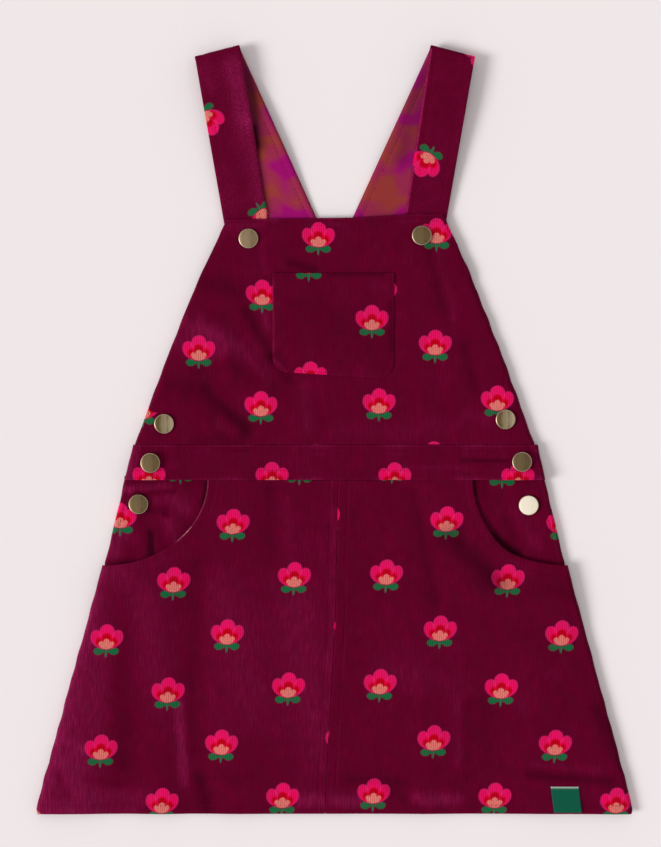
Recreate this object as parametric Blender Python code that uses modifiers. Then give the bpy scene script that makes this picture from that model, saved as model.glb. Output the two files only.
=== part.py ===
"""A child's dungaree-style pinafore dress, laid flat.

The dress lies in the XY plane with its back on z = 0: +Y points to the straps, +X to the right of the
laid-out front, +Z up. Sizes are in millimetres here and become metres where the meshes are made. The back
panels lie flat, the front panels lie on them, and each cloth piece is an open sheet given its thickness by
Solidify. One height function, front_rest, says how high every front piece lies, so pieces that meet at a
seam follow each other's folds.
"""
import math

import bmesh
import bpy
import numpy as np

MM = 0.001

# Thickness of each cloth wall, and the air kept between pieces.
BACK_PLY = 1.5
FRONT_PLY = 1.5
BACKING_PLY = 1.2
POCKET_PLY = 1.2
LINING_PLY = 1.0
STRAP_PLY = 1.5
BAND_PLY = 2.2
LABEL_PLY = 1.0
GAP = 0.3
FACET_MARGIN = 0.3
FRONT_REST = BACK_PLY + GAP

# Heights of the garment's seams along its length.
BAND_TOP_Y = -11.3
BAND_FOOT_Y = -37.9
SCOOP_DEPTH = 63.5
HEM_Y = -288.4
BACK_HEM_Y = -287.5

# Side edges of each front piece: how far left and right it reaches at height y.
BIB_SECTIONS = (
    {"y": 162.0, "left": -79.0, "right": 79.8},
    {"y": 150.0, "left": -84.7, "right": 85.4},
    {"y": 138.4, "left": -90.3, "right": 91.0},
    {"y": 108.4, "left": -104.2, "right": 104.7},
    {"y": 78.4, "left": -116.4, "right": 116.8},
    {"y": 48.4, "left": -128.1, "right": 128.6},
    {"y": 18.4, "left": -139.0, "right": 139.7},
    {"y": -11.3, "left": -150.0, "right": 150.2},
)
BAND_SECTIONS = (
    {"y": -11.3, "left": -151.2, "right": 152.4},
    {"y": -24.0, "left": -154.5, "right": 155.4},
    {"y": -37.9, "left": -157.4, "right": 158.3},
)
BACKING_SECTIONS = (
    {"y": -37.9, "left": -157.8, "right": 158.0},
    {"y": -50.0, "left": -160.3, "right": 160.9},
    {"y": -68.0, "left": -164.7, "right": 165.2},
    {"y": -88.0, "left": -169.5, "right": 169.8},
    {"y": -101.4, "left": -172.8, "right": 173.2},
)
SKIRT_SECTIONS = (
    {"y": -101.4, "left": -174.0, "right": 174.8},
    {"y": -128.0, "left": -181.2, "right": 181.9},
    {"y": -173.0, "left": -193.8, "right": 194.2},
    {"y": -218.0, "left": -206.0, "right": 206.4},
    {"y": -263.0, "left": -218.3, "right": 218.7},
    {"y": -288.4, "left": -225.2, "right": 224.9},
)
# Half width of the back bodice, which tapers to the strap seams under the bib.
BODICE_SECTIONS = (
    {"y": 131.0, "half": 66.0},
    {"y": 118.0, "half": 80.0},
    {"y": 100.0, "half": 96.0},
    {"y": 70.0, "half": 112.0},
    {"y": 30.0, "half": 128.0},
    {"y": -11.3, "half": 144.0},
)
BACK_INSET = 4.5
# The bib's top edge climbs a little to the right.
BIB_TOP = (
    {"x": -80.0, "y": 157.6},
    {"x": -14.0, "y": 158.6},
    {"x": 14.0, "y": 158.9},
    {"x": 53.0, "y": 161.3},
    {"x": 80.0, "y": 162.0},
)
# The centre-front seam runs slightly off the vertical.
CENTRE_SEAM = (
    {"y": -37.9, "x": 2.6},
    {"y": -147.0, "x": 0.7},
    {"y": -231.0, "x": -4.7},
    {"y": -288.4, "x": -7.1},
)
# Each pocket mouth is a quarter ellipse about the waist end of the side seam, the right one a little fuller at
# FULLEST_AT degrees from the waistband. The backing reaches BACKING_TUCK beyond it under the skirt, and a
# little way under the waistband.
SCOOPS = {
    "left": {"sign": -1, "corner_x": -171.2, "reach": 76.0, "fullness": 0.0},
    "right": {"sign": 1, "corner_x": 172.0, "reach": 68.3, "fullness": 0.038},
}
FULLEST_AT = 52.0
FULLNESS_SPREAD = 16.0
SCOOP_RISE = 0.4
BACKING_TUCK = 12.0
BACKING_UNDER_BAND = 3.0
HEM_CORNER = 4.0
HEM_CORNER_ROW = HEM_Y + HEM_CORNER * 0.3
POCKET = {
    "left": -46.5, "right": 44.8, "top": 117.2, "foot_left": 42.8, "foot_right": 38.4, "corner": 12.0,
}

# How much the layers below lift the front, and how the cloth turns down at the sides.
STRAP_END_TOP = 4.6
OVER_STRAPS = STRAP_END_TOP + GAP - FRONT_REST
OVER_STRAPS_FROM = 96.0
OVER_STRAPS_FULL = 121.0
FLATTER_OVER_STRAPS = 0.8
BIB_SAG = 1.1
BIB_SAG_HALF = 34.0
OVER_BACKING = 3.0
OVER_BACKING_FULL = 15.0
OVER_BACKING_FADE = 55.0
SIDE_ROLL = 1.4
SIDE_ROLL_WIDTH = 2.2
SIDE_BULGE = 3.2
SIDE_BULGE_FROM = 8.0
SIDE_BULGE_FADE = 75.0
BACKING_BULGE_SHARE = 0.8
LOFT = 0.7
LOFT_FADE = 22.0
LIFT_ROUNDING = 0.5
SMOOTH_ANGLE = math.radians(40)

# The largest soft folds: a line from (x0, y0) to (x1, y1), its half width and its height above the cloth.
FRONT_FOLDS = (
    {"x0": -97, "y0": 99, "x1": -66, "y1": 79, "half": 10, "height": -1.4},
    {"x0": -66, "y0": 79, "x1": -34, "y1": 32, "half": 9, "height": -1.5},
    {"x0": -94, "y0": 78, "x1": -52, "y1": 30, "half": 10, "height": 1.9},
    {"x0": -99, "y0": 32, "x1": -63, "y1": -8, "half": 8, "height": -1.5},
    {"x0": -114, "y0": 24, "x1": -86, "y1": -6, "half": 9, "height": 1.3},
    {"x0": -28, "y0": 20, "x1": -24, "y1": -8, "half": 10, "height": 1.0},
    {"x0": 74, "y0": 122, "x1": 86, "y1": 76, "half": 10, "height": -1.2},
    {"x0": 86, "y0": 76, "x1": 110, "y1": 20, "half": 11, "height": -1.0},
    {"x0": 60, "y0": 66, "x1": 74, "y1": 8, "half": 13, "height": 1.1},
    {"x0": -105, "y0": -120, "x1": -107, "y1": -205, "half": 11, "height": -1.3},
    {"x0": -107, "y0": -205, "x1": -101, "y1": -287, "half": 10, "height": -1.8},
    {"x0": -133, "y0": -132, "x1": -131, "y1": -287, "half": 14, "height": 1.9},
    {"x0": -160, "y0": -195, "x1": -166, "y1": -287, "half": 12, "height": -0.9},
    {"x0": -76, "y0": -125, "x1": -72, "y1": -287, "half": 15, "height": 1.5},
    {"x0": -51, "y0": -44, "x1": -50, "y1": -100, "half": 9, "height": -0.8},
    {"x0": 54, "y0": -44, "x1": 74, "y1": -124, "half": 10, "height": -1.2},
    {"x0": 84, "y0": -78, "x1": 122, "y1": -106, "half": 14, "height": -1.1},
    {"x0": 60, "y0": -126, "x1": 66, "y1": -287, "half": 14, "height": 1.4},
    {"x0": 104, "y0": -200, "x1": 108, "y1": -287, "half": 13, "height": -1.4},
    {"x0": 146, "y0": -170, "x1": 158, "y1": -287, "half": 15, "height": 1.6},
    {"x0": 182, "y0": -211, "x1": 208, "y1": -228, "half": 7, "height": -1.0},
    {"x0": 16, "y0": -190, "x1": 18, "y1": -287, "half": 12, "height": -0.6},
    {"x0": 106, "y0": -86, "x1": 130, "y1": -98, "half": 8, "height": 1.8},
)

# Each strap in plan: its shoulder fold, its end under the bib and its seam with the back bodice.
STRAPS = {
    "left": {
        "fold_outer": (-104.9, 279.4), "fold_inner": (-71.2, 288.1),
        "end_outer": (-79.3, 134.5), "end_inner": (-45.9, 134.5),
        "seam_outer": (-66.0, 131.3), "seam_inner": (-0.9, 131.3),
    },
    "right": {
        "fold_outer": (105.5, 279.4), "fold_inner": (72.1, 288.1),
        "end_outer": (80.0, 134.5), "end_inner": (49.4, 134.5),
        "seam_outer": (66.0, 131.3), "seam_inner": (0.9, 131.3),
    },
}
STRAP_BACK_ROWS = 14
STRAP_TURN_ROWS = 6
STRAP_FRONT_ROWS = 14
STRAP_COLUMNS = 4
SHOULDER_RADIUS = 3.4
# The back run rises off the table on its way to the shoulder, between two shares of its length.
STRAP_LIFT = 3.2
STRAP_LIFT_FROM = 0.2
STRAP_LIFT_FULL = 0.6
STRAP_LOFT = 1.5
STRAP_BIB_EDGE = 0.77
LINING_INSET = 0.7
LINING_FOOT = 0.1
LINING_HEAD = 0.985
LINING_ROWS = 12
LINING_COLUMNS = 2

# Rows and columns of each panel's mesh, and how far down the centre seam a mouth's rows fan out.
BIB_GRID = {"rows": 16, "columns": 24}
BAND_GRID = {"rows": 2, "columns": 24}
POCKET_GRID = {"rows": 12, "columns": 10}
MOUTH_ROWS = 12
SKIRT_ROWS = 14
SKIRT_COLUMNS = 14
BACKING_GRID = {"rows": 10, "columns": 9}
BACK_ROWS = 8
BACK_COLUMNS = 2
MOUTH_SEAM_DROP = 82.0

# Snap caps: domed brass discs, one turned profile (radius, height above the seat).
CAP_RADIUS = 7.5
CAP_PROFILE = (
    {"radius": 0.0, "height": 2.3},
    {"radius": 3.6, "height": 2.1},
    {"radius": 6.1, "height": 1.5},
    {"radius": 7.1, "height": 1.3},
    {"radius": 7.5, "height": 0.8},
    {"radius": 7.1, "height": 0.0},
    {"radius": 0.0, "height": 0.0},
)
CAP_STEPS = 20
CAPS = (
    {"name": "snap_cap_bib_left", "x": -64.5, "y": 143.0, "on": "bib"},
    {"name": "snap_cap_bib_right", "x": 65.3, "y": 145.3, "on": "bib"},
    {"name": "snap_cap_side_left", "x": -127.6, "y": 4.2, "on": "bib"},
    {"name": "snap_cap_side_right", "x": 128.0, "y": 7.5, "on": "bib"},
    {"name": "snap_cap_band_left", "x": -137.7, "y": -25.0, "on": "band"},
    {"name": "snap_cap_band_right", "x": 140.1, "y": -24.2, "on": "band"},
    {"name": "snap_cap_hip_left", "x": -146.9, "y": -56.0, "on": "backing"},
    {"name": "snap_cap_hip_right", "x": 145.4, "y": -56.8, "on": "backing"},
)
CAP_SAMPLES = 16

# The hem label: a small parallelogram sewn at the hem.
LABEL = {"x": 162.0, "y": -267.6, "width": 21.0, "height": 19.4, "slant": 2.4, "cells": 2}

MATERIALS = {
    "corduroy": {"colour": (0.105, 0.002, 0.024, 1.0), "roughness": 0.85, "metallic": 0.0},
    "lining": {"colour": (0.28, 0.02, 0.09, 1.0), "roughness": 0.7, "metallic": 0.0},
    "brass": {"colour": (0.30, 0.25, 0.15, 1.0), "roughness": 0.35, "metallic": 1.0},
    "label": {"colour": (0.01, 0.14, 0.08, 1.0), "roughness": 0.6, "metallic": 0.0},
}


def clear_scene():
    """Remove every object of the open scene."""
    for item in list(bpy.data.objects):
        bpy.data.objects.remove(item, do_unlink=True)


def column(table, key):
    """One named column of a table, as an array."""
    return np.array([row[key] for row in table], dtype=float)


def across(table, key, at, value):
    """A table's column key at value, between the rows of its column at."""
    places = column(table, at)
    order = np.argsort(places)
    return np.interp(value, places[order], column(table, key)[order])


def ease(low, high, value):
    """0 below low, 1 above high, and a smooth S between them."""
    part = np.clip((value - low) / (high - low), 0.0, 1.0)
    return part * part * (3.0 - 2.0 * part)


def side_edges(y):
    """Left and right reach of the laid-out front at height y."""
    y = np.asarray(y, dtype=float)
    pieces = (BIB_SECTIONS, BAND_SECTIONS, BACKING_SECTIONS, SKIRT_SECTIONS)
    zones = (y >= BAND_TOP_Y, y >= BAND_FOOT_Y, y >= BAND_FOOT_Y - SCOOP_DEPTH)
    left = np.select(zones, [across(table, "left", "y", y) for table in pieces[:3]],
                     across(SKIRT_SECTIONS, "left", "y", y))
    right = np.select(zones, [across(table, "right", "y", y) for table in pieces[:3]],
                      across(SKIRT_SECTIONS, "right", "y", y))
    return left, right


def side_distance(x, y):
    """How far a point lies inside the nearer side edge."""
    left, right = side_edges(y)
    return np.minimum(x - left, right - x)


def side_roll(x, y):
    """How far the cloth turns down at the side edges."""
    return SIDE_ROLL * (1.0 - ease(0.0, SIDE_ROLL_WIDTH, side_distance(x, y)))


def side_bulge(x, y):
    """How far the thick side seams hold the front up, from a little inside the edges to where it sinks again."""
    inside = side_distance(x, y)
    return SIDE_BULGE * ease(0.0, SIDE_ROLL_WIDTH, inside) * (1.0 - ease(SIDE_BULGE_FROM, SIDE_BULGE_FADE, inside))


def over_straps(x, y):
    """Lift of the bib where it lies over the strap ends, with a sag between them."""
    cover = ease(OVER_STRAPS_FROM, OVER_STRAPS_FULL, y)
    sag = BIB_SAG * np.exp(-(x / BIB_SAG_HALF) ** 2)
    return cover, cover * (OVER_STRAPS - sag)


def over_backing(x, y):
    """Lift of the front around the pocket mouths, where it lies over the backings."""
    lift = np.zeros_like(x)
    for scoop in SCOOPS.values():
        u = np.maximum(scoop["sign"] * (scoop["corner_x"] - x), 0.0) / scoop["reach"]
        v = np.maximum(BAND_FOOT_Y - y, 0.0) / SCOOP_DEPTH
        beyond = (np.hypot(u, v) - 1.0) * SCOOP_DEPTH
        spread = 1.0 - ease(OVER_BACKING_FULL, OVER_BACKING_FADE, beyond)
        lift = np.maximum(lift, spread * np.where(scoop["sign"] * x > 0, 1.0, 0.0))
    return OVER_BACKING * lift * (1.0 - ease(BAND_FOOT_Y, BAND_TOP_Y, y))


def fold_lift(x, y):
    """Height of the soft folds: each is a rounded ridge or trough along its own line."""
    lift = np.full_like(x, LOFT)
    for fold in FRONT_FOLDS:
        run_x = fold["x1"] - fold["x0"]
        run_y = fold["y1"] - fold["y0"]
        along = ((x - fold["x0"]) * run_x + (y - fold["y0"]) * run_y) / (run_x ** 2 + run_y ** 2)
        along = np.clip(along, 0.0, 1.0)
        away = np.hypot(x - fold["x0"] - along * run_x, y - fold["y0"] - along * run_y)
        lift = lift + fold["height"] * np.exp(-(away / fold["half"]) ** 2)
    raised = 0.5 * (lift + np.sqrt(lift ** 2 + LIFT_ROUNDING ** 2))
    return raised * ease(0.0, LOFT_FADE, side_distance(x, y))


def front_rest(x, y):
    """Underside height of the front panels at (x, y)."""
    x = np.asarray(x, dtype=float)
    y = np.asarray(y, dtype=float)
    cover, strap_lift = over_straps(x, y)
    folds = fold_lift(x, y) * (1.0 - FLATTER_OVER_STRAPS * cover)
    sides = (side_bulge(x, y) - side_roll(x, y)) * (1.0 - cover)
    return FRONT_REST + strap_lift + over_backing(x, y) + folds + sides


def backing_rest(x, y):
    """Underside height of the pocket backings, which rise from the back skirt towards the side seams."""
    return FRONT_REST + BACKING_BULGE_SHARE * side_bulge(x, y) - side_roll(x, y)


def make_material(name):
    """A Principled material of one colour."""
    finish = MATERIALS[name]
    material = bpy.data.materials.new(name)
    material.use_nodes = True
    shader = material.node_tree.nodes["Principled BSDF"]
    shader.inputs["Base Color"].default_value = finish["colour"]
    shader.inputs["Roughness"].default_value = finish["roughness"]
    shader.inputs["Metallic"].default_value = finish["metallic"]
    material.diffuse_color = finish["colour"]
    return material


def add_object(name, mesh, finish, collection):
    """Link a mesh into the dress's collection with a material of its own."""
    item = bpy.data.objects.new(name, mesh)
    if not mesh.materials:
        mesh.materials.append(make_material(finish))
    collection.objects.link(item)
    return item


def cloth_sheet(name, points, ply, offset, finish, collection):
    """A cloth wall: a grid whose vertices take the given points, thickened by Solidify.

    points has one row per crosswise line of the cloth and is in millimetres. offset 1 builds the wall
    above the points, and offset 0 half to each side of them.
    """
    rows, columns = points.shape[0] - 1, points.shape[1] - 1
    mesh = bpy.data.meshes.new(name)
    grid = bmesh.new()
    bmesh.ops.create_grid(grid, x_segments=columns, y_segments=rows, size=0.5)
    for vertex in grid.verts:
        row = round((0.5 - vertex.co.y) * rows)
        place = round((vertex.co.x + 0.5) * columns)
        vertex.co = points[row, place] * MM
    for face in grid.faces:
        face.smooth = True
    grid.to_mesh(mesh)
    grid.free()
    mesh.set_sharp_from_angle(angle=SMOOTH_ANGLE)
    sheet = add_object(name, mesh, finish, collection)
    wall = sheet.modifiers.new("ply", "SOLIDIFY")
    wall.thickness = ply * MM
    wall.offset = offset
    wall.use_rim = True
    return sheet


def ruled(left, right, columns, rolled=()):
    """Plan points between two edges, one row for each pair of edge points.

    Each end named in rolled gets a narrow column as wide as the cloth's turned-down edge.
    """
    inner = np.linspace(0.0, 1.0, columns + 1)
    narrow = SIDE_ROLL_WIDTH / np.linalg.norm(right - left, axis=1)
    parts = [np.full(len(narrow), place) for place in inner]
    parts += [narrow if end == "left" else 1.0 - narrow for end in rolled]
    parts = np.sort(np.stack(parts, axis=1), axis=1)[..., None]
    return left[:, None, :] * (1.0 - parts) + right[:, None, :] * parts


def stack(x, y):
    """Plan points from matching arrays of x and y."""
    return np.stack([np.asarray(x, dtype=float), np.asarray(y, dtype=float)], axis=-1)


def lay(plan, height):
    """Give plan points a height."""
    x, y = plan[..., 0], plan[..., 1]
    z = height(x, y) if callable(height) else np.full_like(x, height)
    return np.stack([x, y, z], axis=-1)


def back_panel(name, rows, left, right, collection):
    """A flat back panel: its edges are functions of y and it lies on z = 0."""
    plan = ruled(stack(left(rows), rows), stack(right(rows), rows), BACK_COLUMNS)
    return cloth_sheet(name, lay(plan, 0.0), BACK_PLY, 1.0, "corduroy", collection)


def add_back(collection):
    """Back skirt, waistband and bodice, seamed with GAP between them."""
    def inset_left(y):
        return side_edges(y)[0] + BACK_INSET

    def inset_right(y):
        return side_edges(y)[1] - BACK_INSET

    def bodice_half(y):
        return across(BODICE_SECTIONS, "half", "y", y)

    skirt_rows = np.linspace(BAND_FOOT_Y - GAP / 2, BACK_HEM_Y, BACK_ROWS + 1)
    back_panel("back_skirt", skirt_rows, inset_left, inset_right, collection)
    band_rows = np.linspace(BAND_TOP_Y - GAP / 2, BAND_FOOT_Y + GAP / 2, 2)
    back_panel("back_waistband", band_rows, inset_left, inset_right, collection)
    bodice_rows = np.sort(column(BODICE_SECTIONS, "y"))[::-1]
    bodice_rows[0] -= GAP / 2
    bodice_rows[-1] += GAP / 2
    back_panel("back_bodice", bodice_rows, lambda y: -bodice_half(y), bodice_half, collection)


def add_bib(collection):
    """The bib, whose top edge climbs a little to the right."""
    rows = np.linspace(1.0, 0.0, BIB_GRID["rows"] + 1)
    foot = BAND_TOP_Y + GAP / 2
    straight_top = across(BIB_TOP, "y", "x", 0.0)
    y = foot + rows * (straight_top - foot)
    plan = ruled(stack(across(BIB_SECTIONS, "left", "y", y), y),
                 stack(across(BIB_SECTIONS, "right", "y", y), y),
                 BIB_GRID["columns"], ("left", "right"))
    climb = across(BIB_TOP, "y", "x", plan[..., 0]) - straight_top
    plan[..., 1] += climb * rows[:, None] ** 2
    cloth_sheet("front_bib", lay(plan, front_rest), FRONT_PLY, 1.0, "corduroy", collection)


def add_bib_pocket(collection):
    """The patch pocket: the bib's own heights, moved out by the bib's wall and the gap."""
    rows = 1.0 - np.cos(np.linspace(0.0, math.pi / 2, POCKET_GRID["rows"] + 1))
    down = 1.0 - rows[::-1]
    depth = POCKET["top"] - 0.5 * (POCKET["foot_left"] + POCKET["foot_right"])
    corner = POCKET["corner"]
    into_corner = np.maximum(corner - depth * (1.0 - down), 0.0)
    pull = corner - np.sqrt(corner ** 2 - into_corner ** 2)
    left_y = POCKET["top"] - down * (POCKET["top"] - POCKET["foot_left"])
    right_y = POCKET["top"] - down * (POCKET["top"] - POCKET["foot_right"])
    plan = ruled(stack(POCKET["left"] + pull, left_y), stack(POCKET["right"] - pull, right_y),
                 POCKET_GRID["columns"])
    points = lay(plan, front_rest)
    points[..., 2] += FRONT_PLY + GAP + FACET_MARGIN
    cloth_sheet("bib_pocket", points, POCKET_PLY, 1.0, "corduroy", collection)


def add_front_waistband(collection):
    """The waistband strip between bib and skirt."""
    y = np.linspace(BAND_TOP_Y - GAP / 2, BAND_FOOT_Y + GAP / 2, BAND_GRID["rows"] + 1)
    plan = ruled(stack(across(BAND_SECTIONS, "left", "y", y), y),
                 stack(across(BAND_SECTIONS, "right", "y", y), y),
                 BAND_GRID["columns"], ("left", "right"))
    cloth_sheet("front_waistband", lay(plan, front_rest), BAND_PLY, 1.0, "corduroy", collection)


def scoop_curve(scoop, angles, grow=0.0):
    """Points of a pocket mouth, or of the same curve grown outward."""
    from_fullest = (np.degrees(angles) - FULLEST_AT) / FULLNESS_SPREAD
    full = 1.0 + scoop["fullness"] * np.exp(-from_fullest ** 2)
    x = scoop["corner_x"] - scoop["sign"] * (scoop["reach"] + grow) * full * np.cos(angles)
    y = BAND_FOOT_Y - GAP / 2 - (SCOOP_DEPTH + grow) * full * np.sin(angles)
    return stack(x, y)


def add_front_skirt(side, collection):
    """One front skirt panel: pocket mouth and side edge on one hand, centre seam on the other.

    The mouth's rows close up towards the side seam, where the cloth turns down.
    """
    scoop = SCOOPS[side]
    quarter = np.linspace(0.0, math.pi / 2, MOUTH_ROWS + 1)[:-1]
    mouth = scoop_curve(scoop, math.pi / 2 * np.sin(quarter))
    side_y = np.linspace(BAND_FOOT_Y - SCOOP_DEPTH - SCOOP_RISE, HEM_Y, SKIRT_ROWS + 1)
    side_y = np.concatenate([side_y[:-1], [HEM_CORNER_ROW, HEM_Y]])
    cut = np.maximum(HEM_CORNER - (side_y - HEM_Y), 0.0)
    side_x = across(SKIRT_SECTIONS, side, "y", side_y)
    side_x = side_x - scoop["sign"] * (HEM_CORNER - np.sqrt(HEM_CORNER ** 2 - cut ** 2))
    outer = np.concatenate([mouth, stack(side_x, side_y)])
    seam_y = np.concatenate([
        np.linspace(BAND_FOOT_Y - GAP / 2, BAND_FOOT_Y - MOUTH_SEAM_DROP, MOUTH_ROWS + 1)[:-1],
        np.linspace(BAND_FOOT_Y - MOUTH_SEAM_DROP, HEM_Y, SKIRT_ROWS + 1)[:-1],
        [HEM_CORNER_ROW, HEM_Y],
    ])
    seam_x = across(CENTRE_SEAM, "x", "y", seam_y) + scoop["sign"] * GAP / 2
    seam = stack(seam_x, seam_y)
    edges = (outer, seam) if side == "left" else (seam, outer)
    plan = ruled(*edges, SKIRT_COLUMNS, (side,))
    cloth_sheet("front_skirt_" + side, lay(plan, front_rest), FRONT_PLY, 1.0, "corduroy", collection)


def add_pocket_backing(side, collection):
    """The side piece that shows inside a pocket mouth, tucked under the skirt and the waistband."""
    scoop = SCOOPS[side]
    angles = np.linspace(0.0, math.pi / 2, BACKING_GRID["rows"] + 1)
    inner = scoop_curve(scoop, angles, BACKING_TUCK)
    top = BAND_FOOT_Y + BACKING_UNDER_BAND
    inner[0, 1] = top
    outer_y = np.linspace(top, BAND_FOOT_Y - SCOOP_DEPTH - GAP / 2, BACKING_GRID["rows"] + 1)
    outer = stack(across(BACKING_SECTIONS, side, "y", outer_y), outer_y)
    inner[-1, 0] = outer[-1, 0] - scoop["sign"] * SIDE_ROLL_WIDTH
    outer[-1, 1] = inner[-1, 1] + SIDE_ROLL_WIDTH
    edges = (outer, inner) if side == "left" else (inner, outer)
    plan = ruled(*edges, BACKING_GRID["columns"], (side,))
    cloth_sheet("pocket_backing_" + side, lay(plan, backing_rest), BACKING_PLY, 1.0, "corduroy", collection)


def strap_frame(strap):
    """The strap's fold line drawn back by the fold's own reach, and the way out of it."""
    outer = np.array(strap["fold_outer"])
    inner = np.array(strap["fold_inner"])
    along = (inner - outer) / np.linalg.norm(inner - outer)
    out = np.array([-along[1], along[0]])
    out *= np.sign(out[1])
    reach = SHOULDER_RADIUS + STRAP_PLY / 2
    return outer - out * reach, inner - out * reach, out


def back_run_lift(rise):
    """How high the back run stands off the table at a share of its length."""
    return STRAP_LIFT * ease(STRAP_LIFT_FROM, STRAP_LIFT_FULL, rise)


def add_strap(side, collection):
    """One strap: up the back, over the shoulder fold and down to its end under the bib."""
    strap = STRAPS[side]
    fold_outer, fold_inner, out = strap_frame(strap)
    low = STRAP_PLY / 2
    shoulder = low + STRAP_LIFT
    high = shoulder + 2 * SHOULDER_RADIUS
    end = STRAP_END_TOP - STRAP_PLY / 2
    rise = np.linspace(0.0, 1.0, STRAP_BACK_ROWS + 1)[:-1, None]
    back_outer = np.array(strap["seam_outer"]) * (1 - rise) + fold_outer * rise
    back_inner = np.array(strap["seam_inner"]) * (1 - rise) + fold_inner * rise
    turn = np.linspace(0.0, math.pi, STRAP_TURN_ROWS + 1)
    turn_shift = out[None, :] * SHOULDER_RADIUS * np.sin(turn)[:, None]
    fall = np.linspace(0.0, 1.0, STRAP_FRONT_ROWS + 1)[1:, None]
    front_outer = fold_outer * (1 - fall) + np.array(strap["end_outer"]) * fall
    front_inner = fold_inner * (1 - fall) + np.array(strap["end_inner"]) * fall
    shown = np.clip(fall[:, 0] / STRAP_BIB_EDGE, 0.0, 1.0)
    z = np.concatenate([
        low + back_run_lift(rise[:, 0]),
        shoulder + SHOULDER_RADIUS * (1.0 - np.cos(turn)),
        high + (end - high) * ease(0.0, 1.0, shown) + STRAP_LOFT * np.sin(math.pi * shown),
    ])
    outer = np.concatenate([back_outer, fold_outer + turn_shift, front_outer])
    inner = np.concatenate([back_inner, fold_inner + turn_shift, front_inner])
    plan = ruled(outer, inner, STRAP_COLUMNS)
    heights = np.repeat(z[:, None], STRAP_COLUMNS + 1, axis=1)
    points = np.concatenate([plan, heights[..., None]], axis=-1)
    cloth_sheet("strap_" + side, points, STRAP_PLY, 0.0, "corduroy", collection)


def add_strap_lining(side, collection):
    """The printed lining on the inner face of a strap's back run."""
    strap = STRAPS[side]
    fold_outer, fold_inner, _ = strap_frame(strap)
    rise = np.linspace(LINING_FOOT, LINING_HEAD, LINING_ROWS + 1)[:, None]
    outer = np.array(strap["seam_outer"]) * (1 - rise) + fold_outer * rise
    inner = np.array(strap["seam_inner"]) * (1 - rise) + fold_inner * rise
    width = np.linalg.norm(inner - outer, axis=1, keepdims=True)
    outer, inner = (outer + (inner - outer) * LINING_INSET / width,
                    inner - (inner - outer) * LINING_INSET / width)
    edges = (inner, outer) if side == "left" else (outer, inner)
    plan = ruled(*edges, LINING_COLUMNS)
    points = lay(plan, STRAP_PLY + GAP)
    points[..., 2] += back_run_lift(rise)
    points = points[::-1, ::-1]
    cloth_sheet("strap_lining_" + side, points, LINING_PLY, 1.0, "lining", collection)


def cap_seat(cap):
    """Height that clears the cloth under a cap, all round it."""
    angles = np.linspace(0.0, 2 * math.pi, CAP_SAMPLES, endpoint=False)
    x = np.append(cap["x"] + CAP_RADIUS * np.cos(angles), cap["x"])
    y = np.append(cap["y"] + CAP_RADIUS * np.sin(angles), cap["y"])
    surfaces = {
        "bib": lambda: front_rest(x, y) + FRONT_PLY,
        "band": lambda: front_rest(x, y) + BAND_PLY,
        "backing": lambda: backing_rest(x, y) + BACKING_PLY,
    }
    return float(np.max(surfaces[cap["on"]]())) + GAP


def turned_cap():
    """The cap's profile, from the middle of its dome down to the middle of its seat."""
    profile = bmesh.new()
    last = None
    for point in CAP_PROFILE:
        vertex = profile.verts.new((point["radius"] * MM, 0.0, point["height"] * MM))
        if last is not None:
            profile.edges.new((last, vertex))
        last = vertex
    mesh = bpy.data.meshes.new("snap_cap")
    profile.to_mesh(mesh)
    profile.free()
    mesh.materials.append(make_material("brass"))
    return mesh


def add_caps(collection):
    """Eight caps share one profile; each is turned by its own Screw modifier."""
    mesh = turned_cap()
    for cap in CAPS:
        item = add_object(cap["name"], mesh, "brass", collection)
        item.location = (cap["x"] * MM, cap["y"] * MM, cap_seat(cap) * MM)
        screw = item.modifiers.new("turn", "SCREW")
        screw.axis = "Z"
        screw.steps = CAP_STEPS
        screw.render_steps = CAP_STEPS
        screw.use_merge_vertices = True
        screw.merge_threshold = 0.00001
        screw.use_smooth_shade = True


def add_label(collection):
    """The hem label, a slanted tab on the right skirt panel."""
    steps = np.linspace(0.0, 1.0, LABEL["cells"] + 1)
    y = LABEL["y"] - steps * LABEL["height"]
    left = LABEL["x"] + steps * LABEL["slant"]
    plan = ruled(stack(left, y), stack(left + LABEL["width"], y), LABEL["cells"])
    points = lay(plan, front_rest)
    points[..., 2] += FRONT_PLY + GAP + FACET_MARGIN
    cloth_sheet("hem_label", points, LABEL_PLY, 1.0, "label", collection)


def main():
    """Build the whole dress."""
    clear_scene()
    collection = bpy.data.collections.new("pinafore_dress")
    bpy.context.scene.collection.children.link(collection)
    add_back(collection)
    add_bib(collection)
    add_bib_pocket(collection)
    add_front_waistband(collection)
    for side in SCOOPS:
        add_front_skirt(side, collection)
        add_pocket_backing(side, collection)
        add_strap(side, collection)
        add_strap_lining(side, collection)
    add_caps(collection)
    add_label(collection)


main()
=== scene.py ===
"""A child's corduroy pinafore dress, laid flat: the looks of every piece of it.

Sizes are in millimetres and become metres where a mesh is made. +X is to the right of the laid-out front, +Y
runs from the hem to the shoulders, and the dress lies on z = 0. Each cloth piece is rows of points between
its two side edges. The corduroy's ribs (its wales) are lines of one value of the cloth's own crosswise
coordinate, so an edge that leans cuts across them.
"""

import logging
import math
from collections.abc import Callable
from dataclasses import dataclass
from enum import Enum
from functools import reduce

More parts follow.
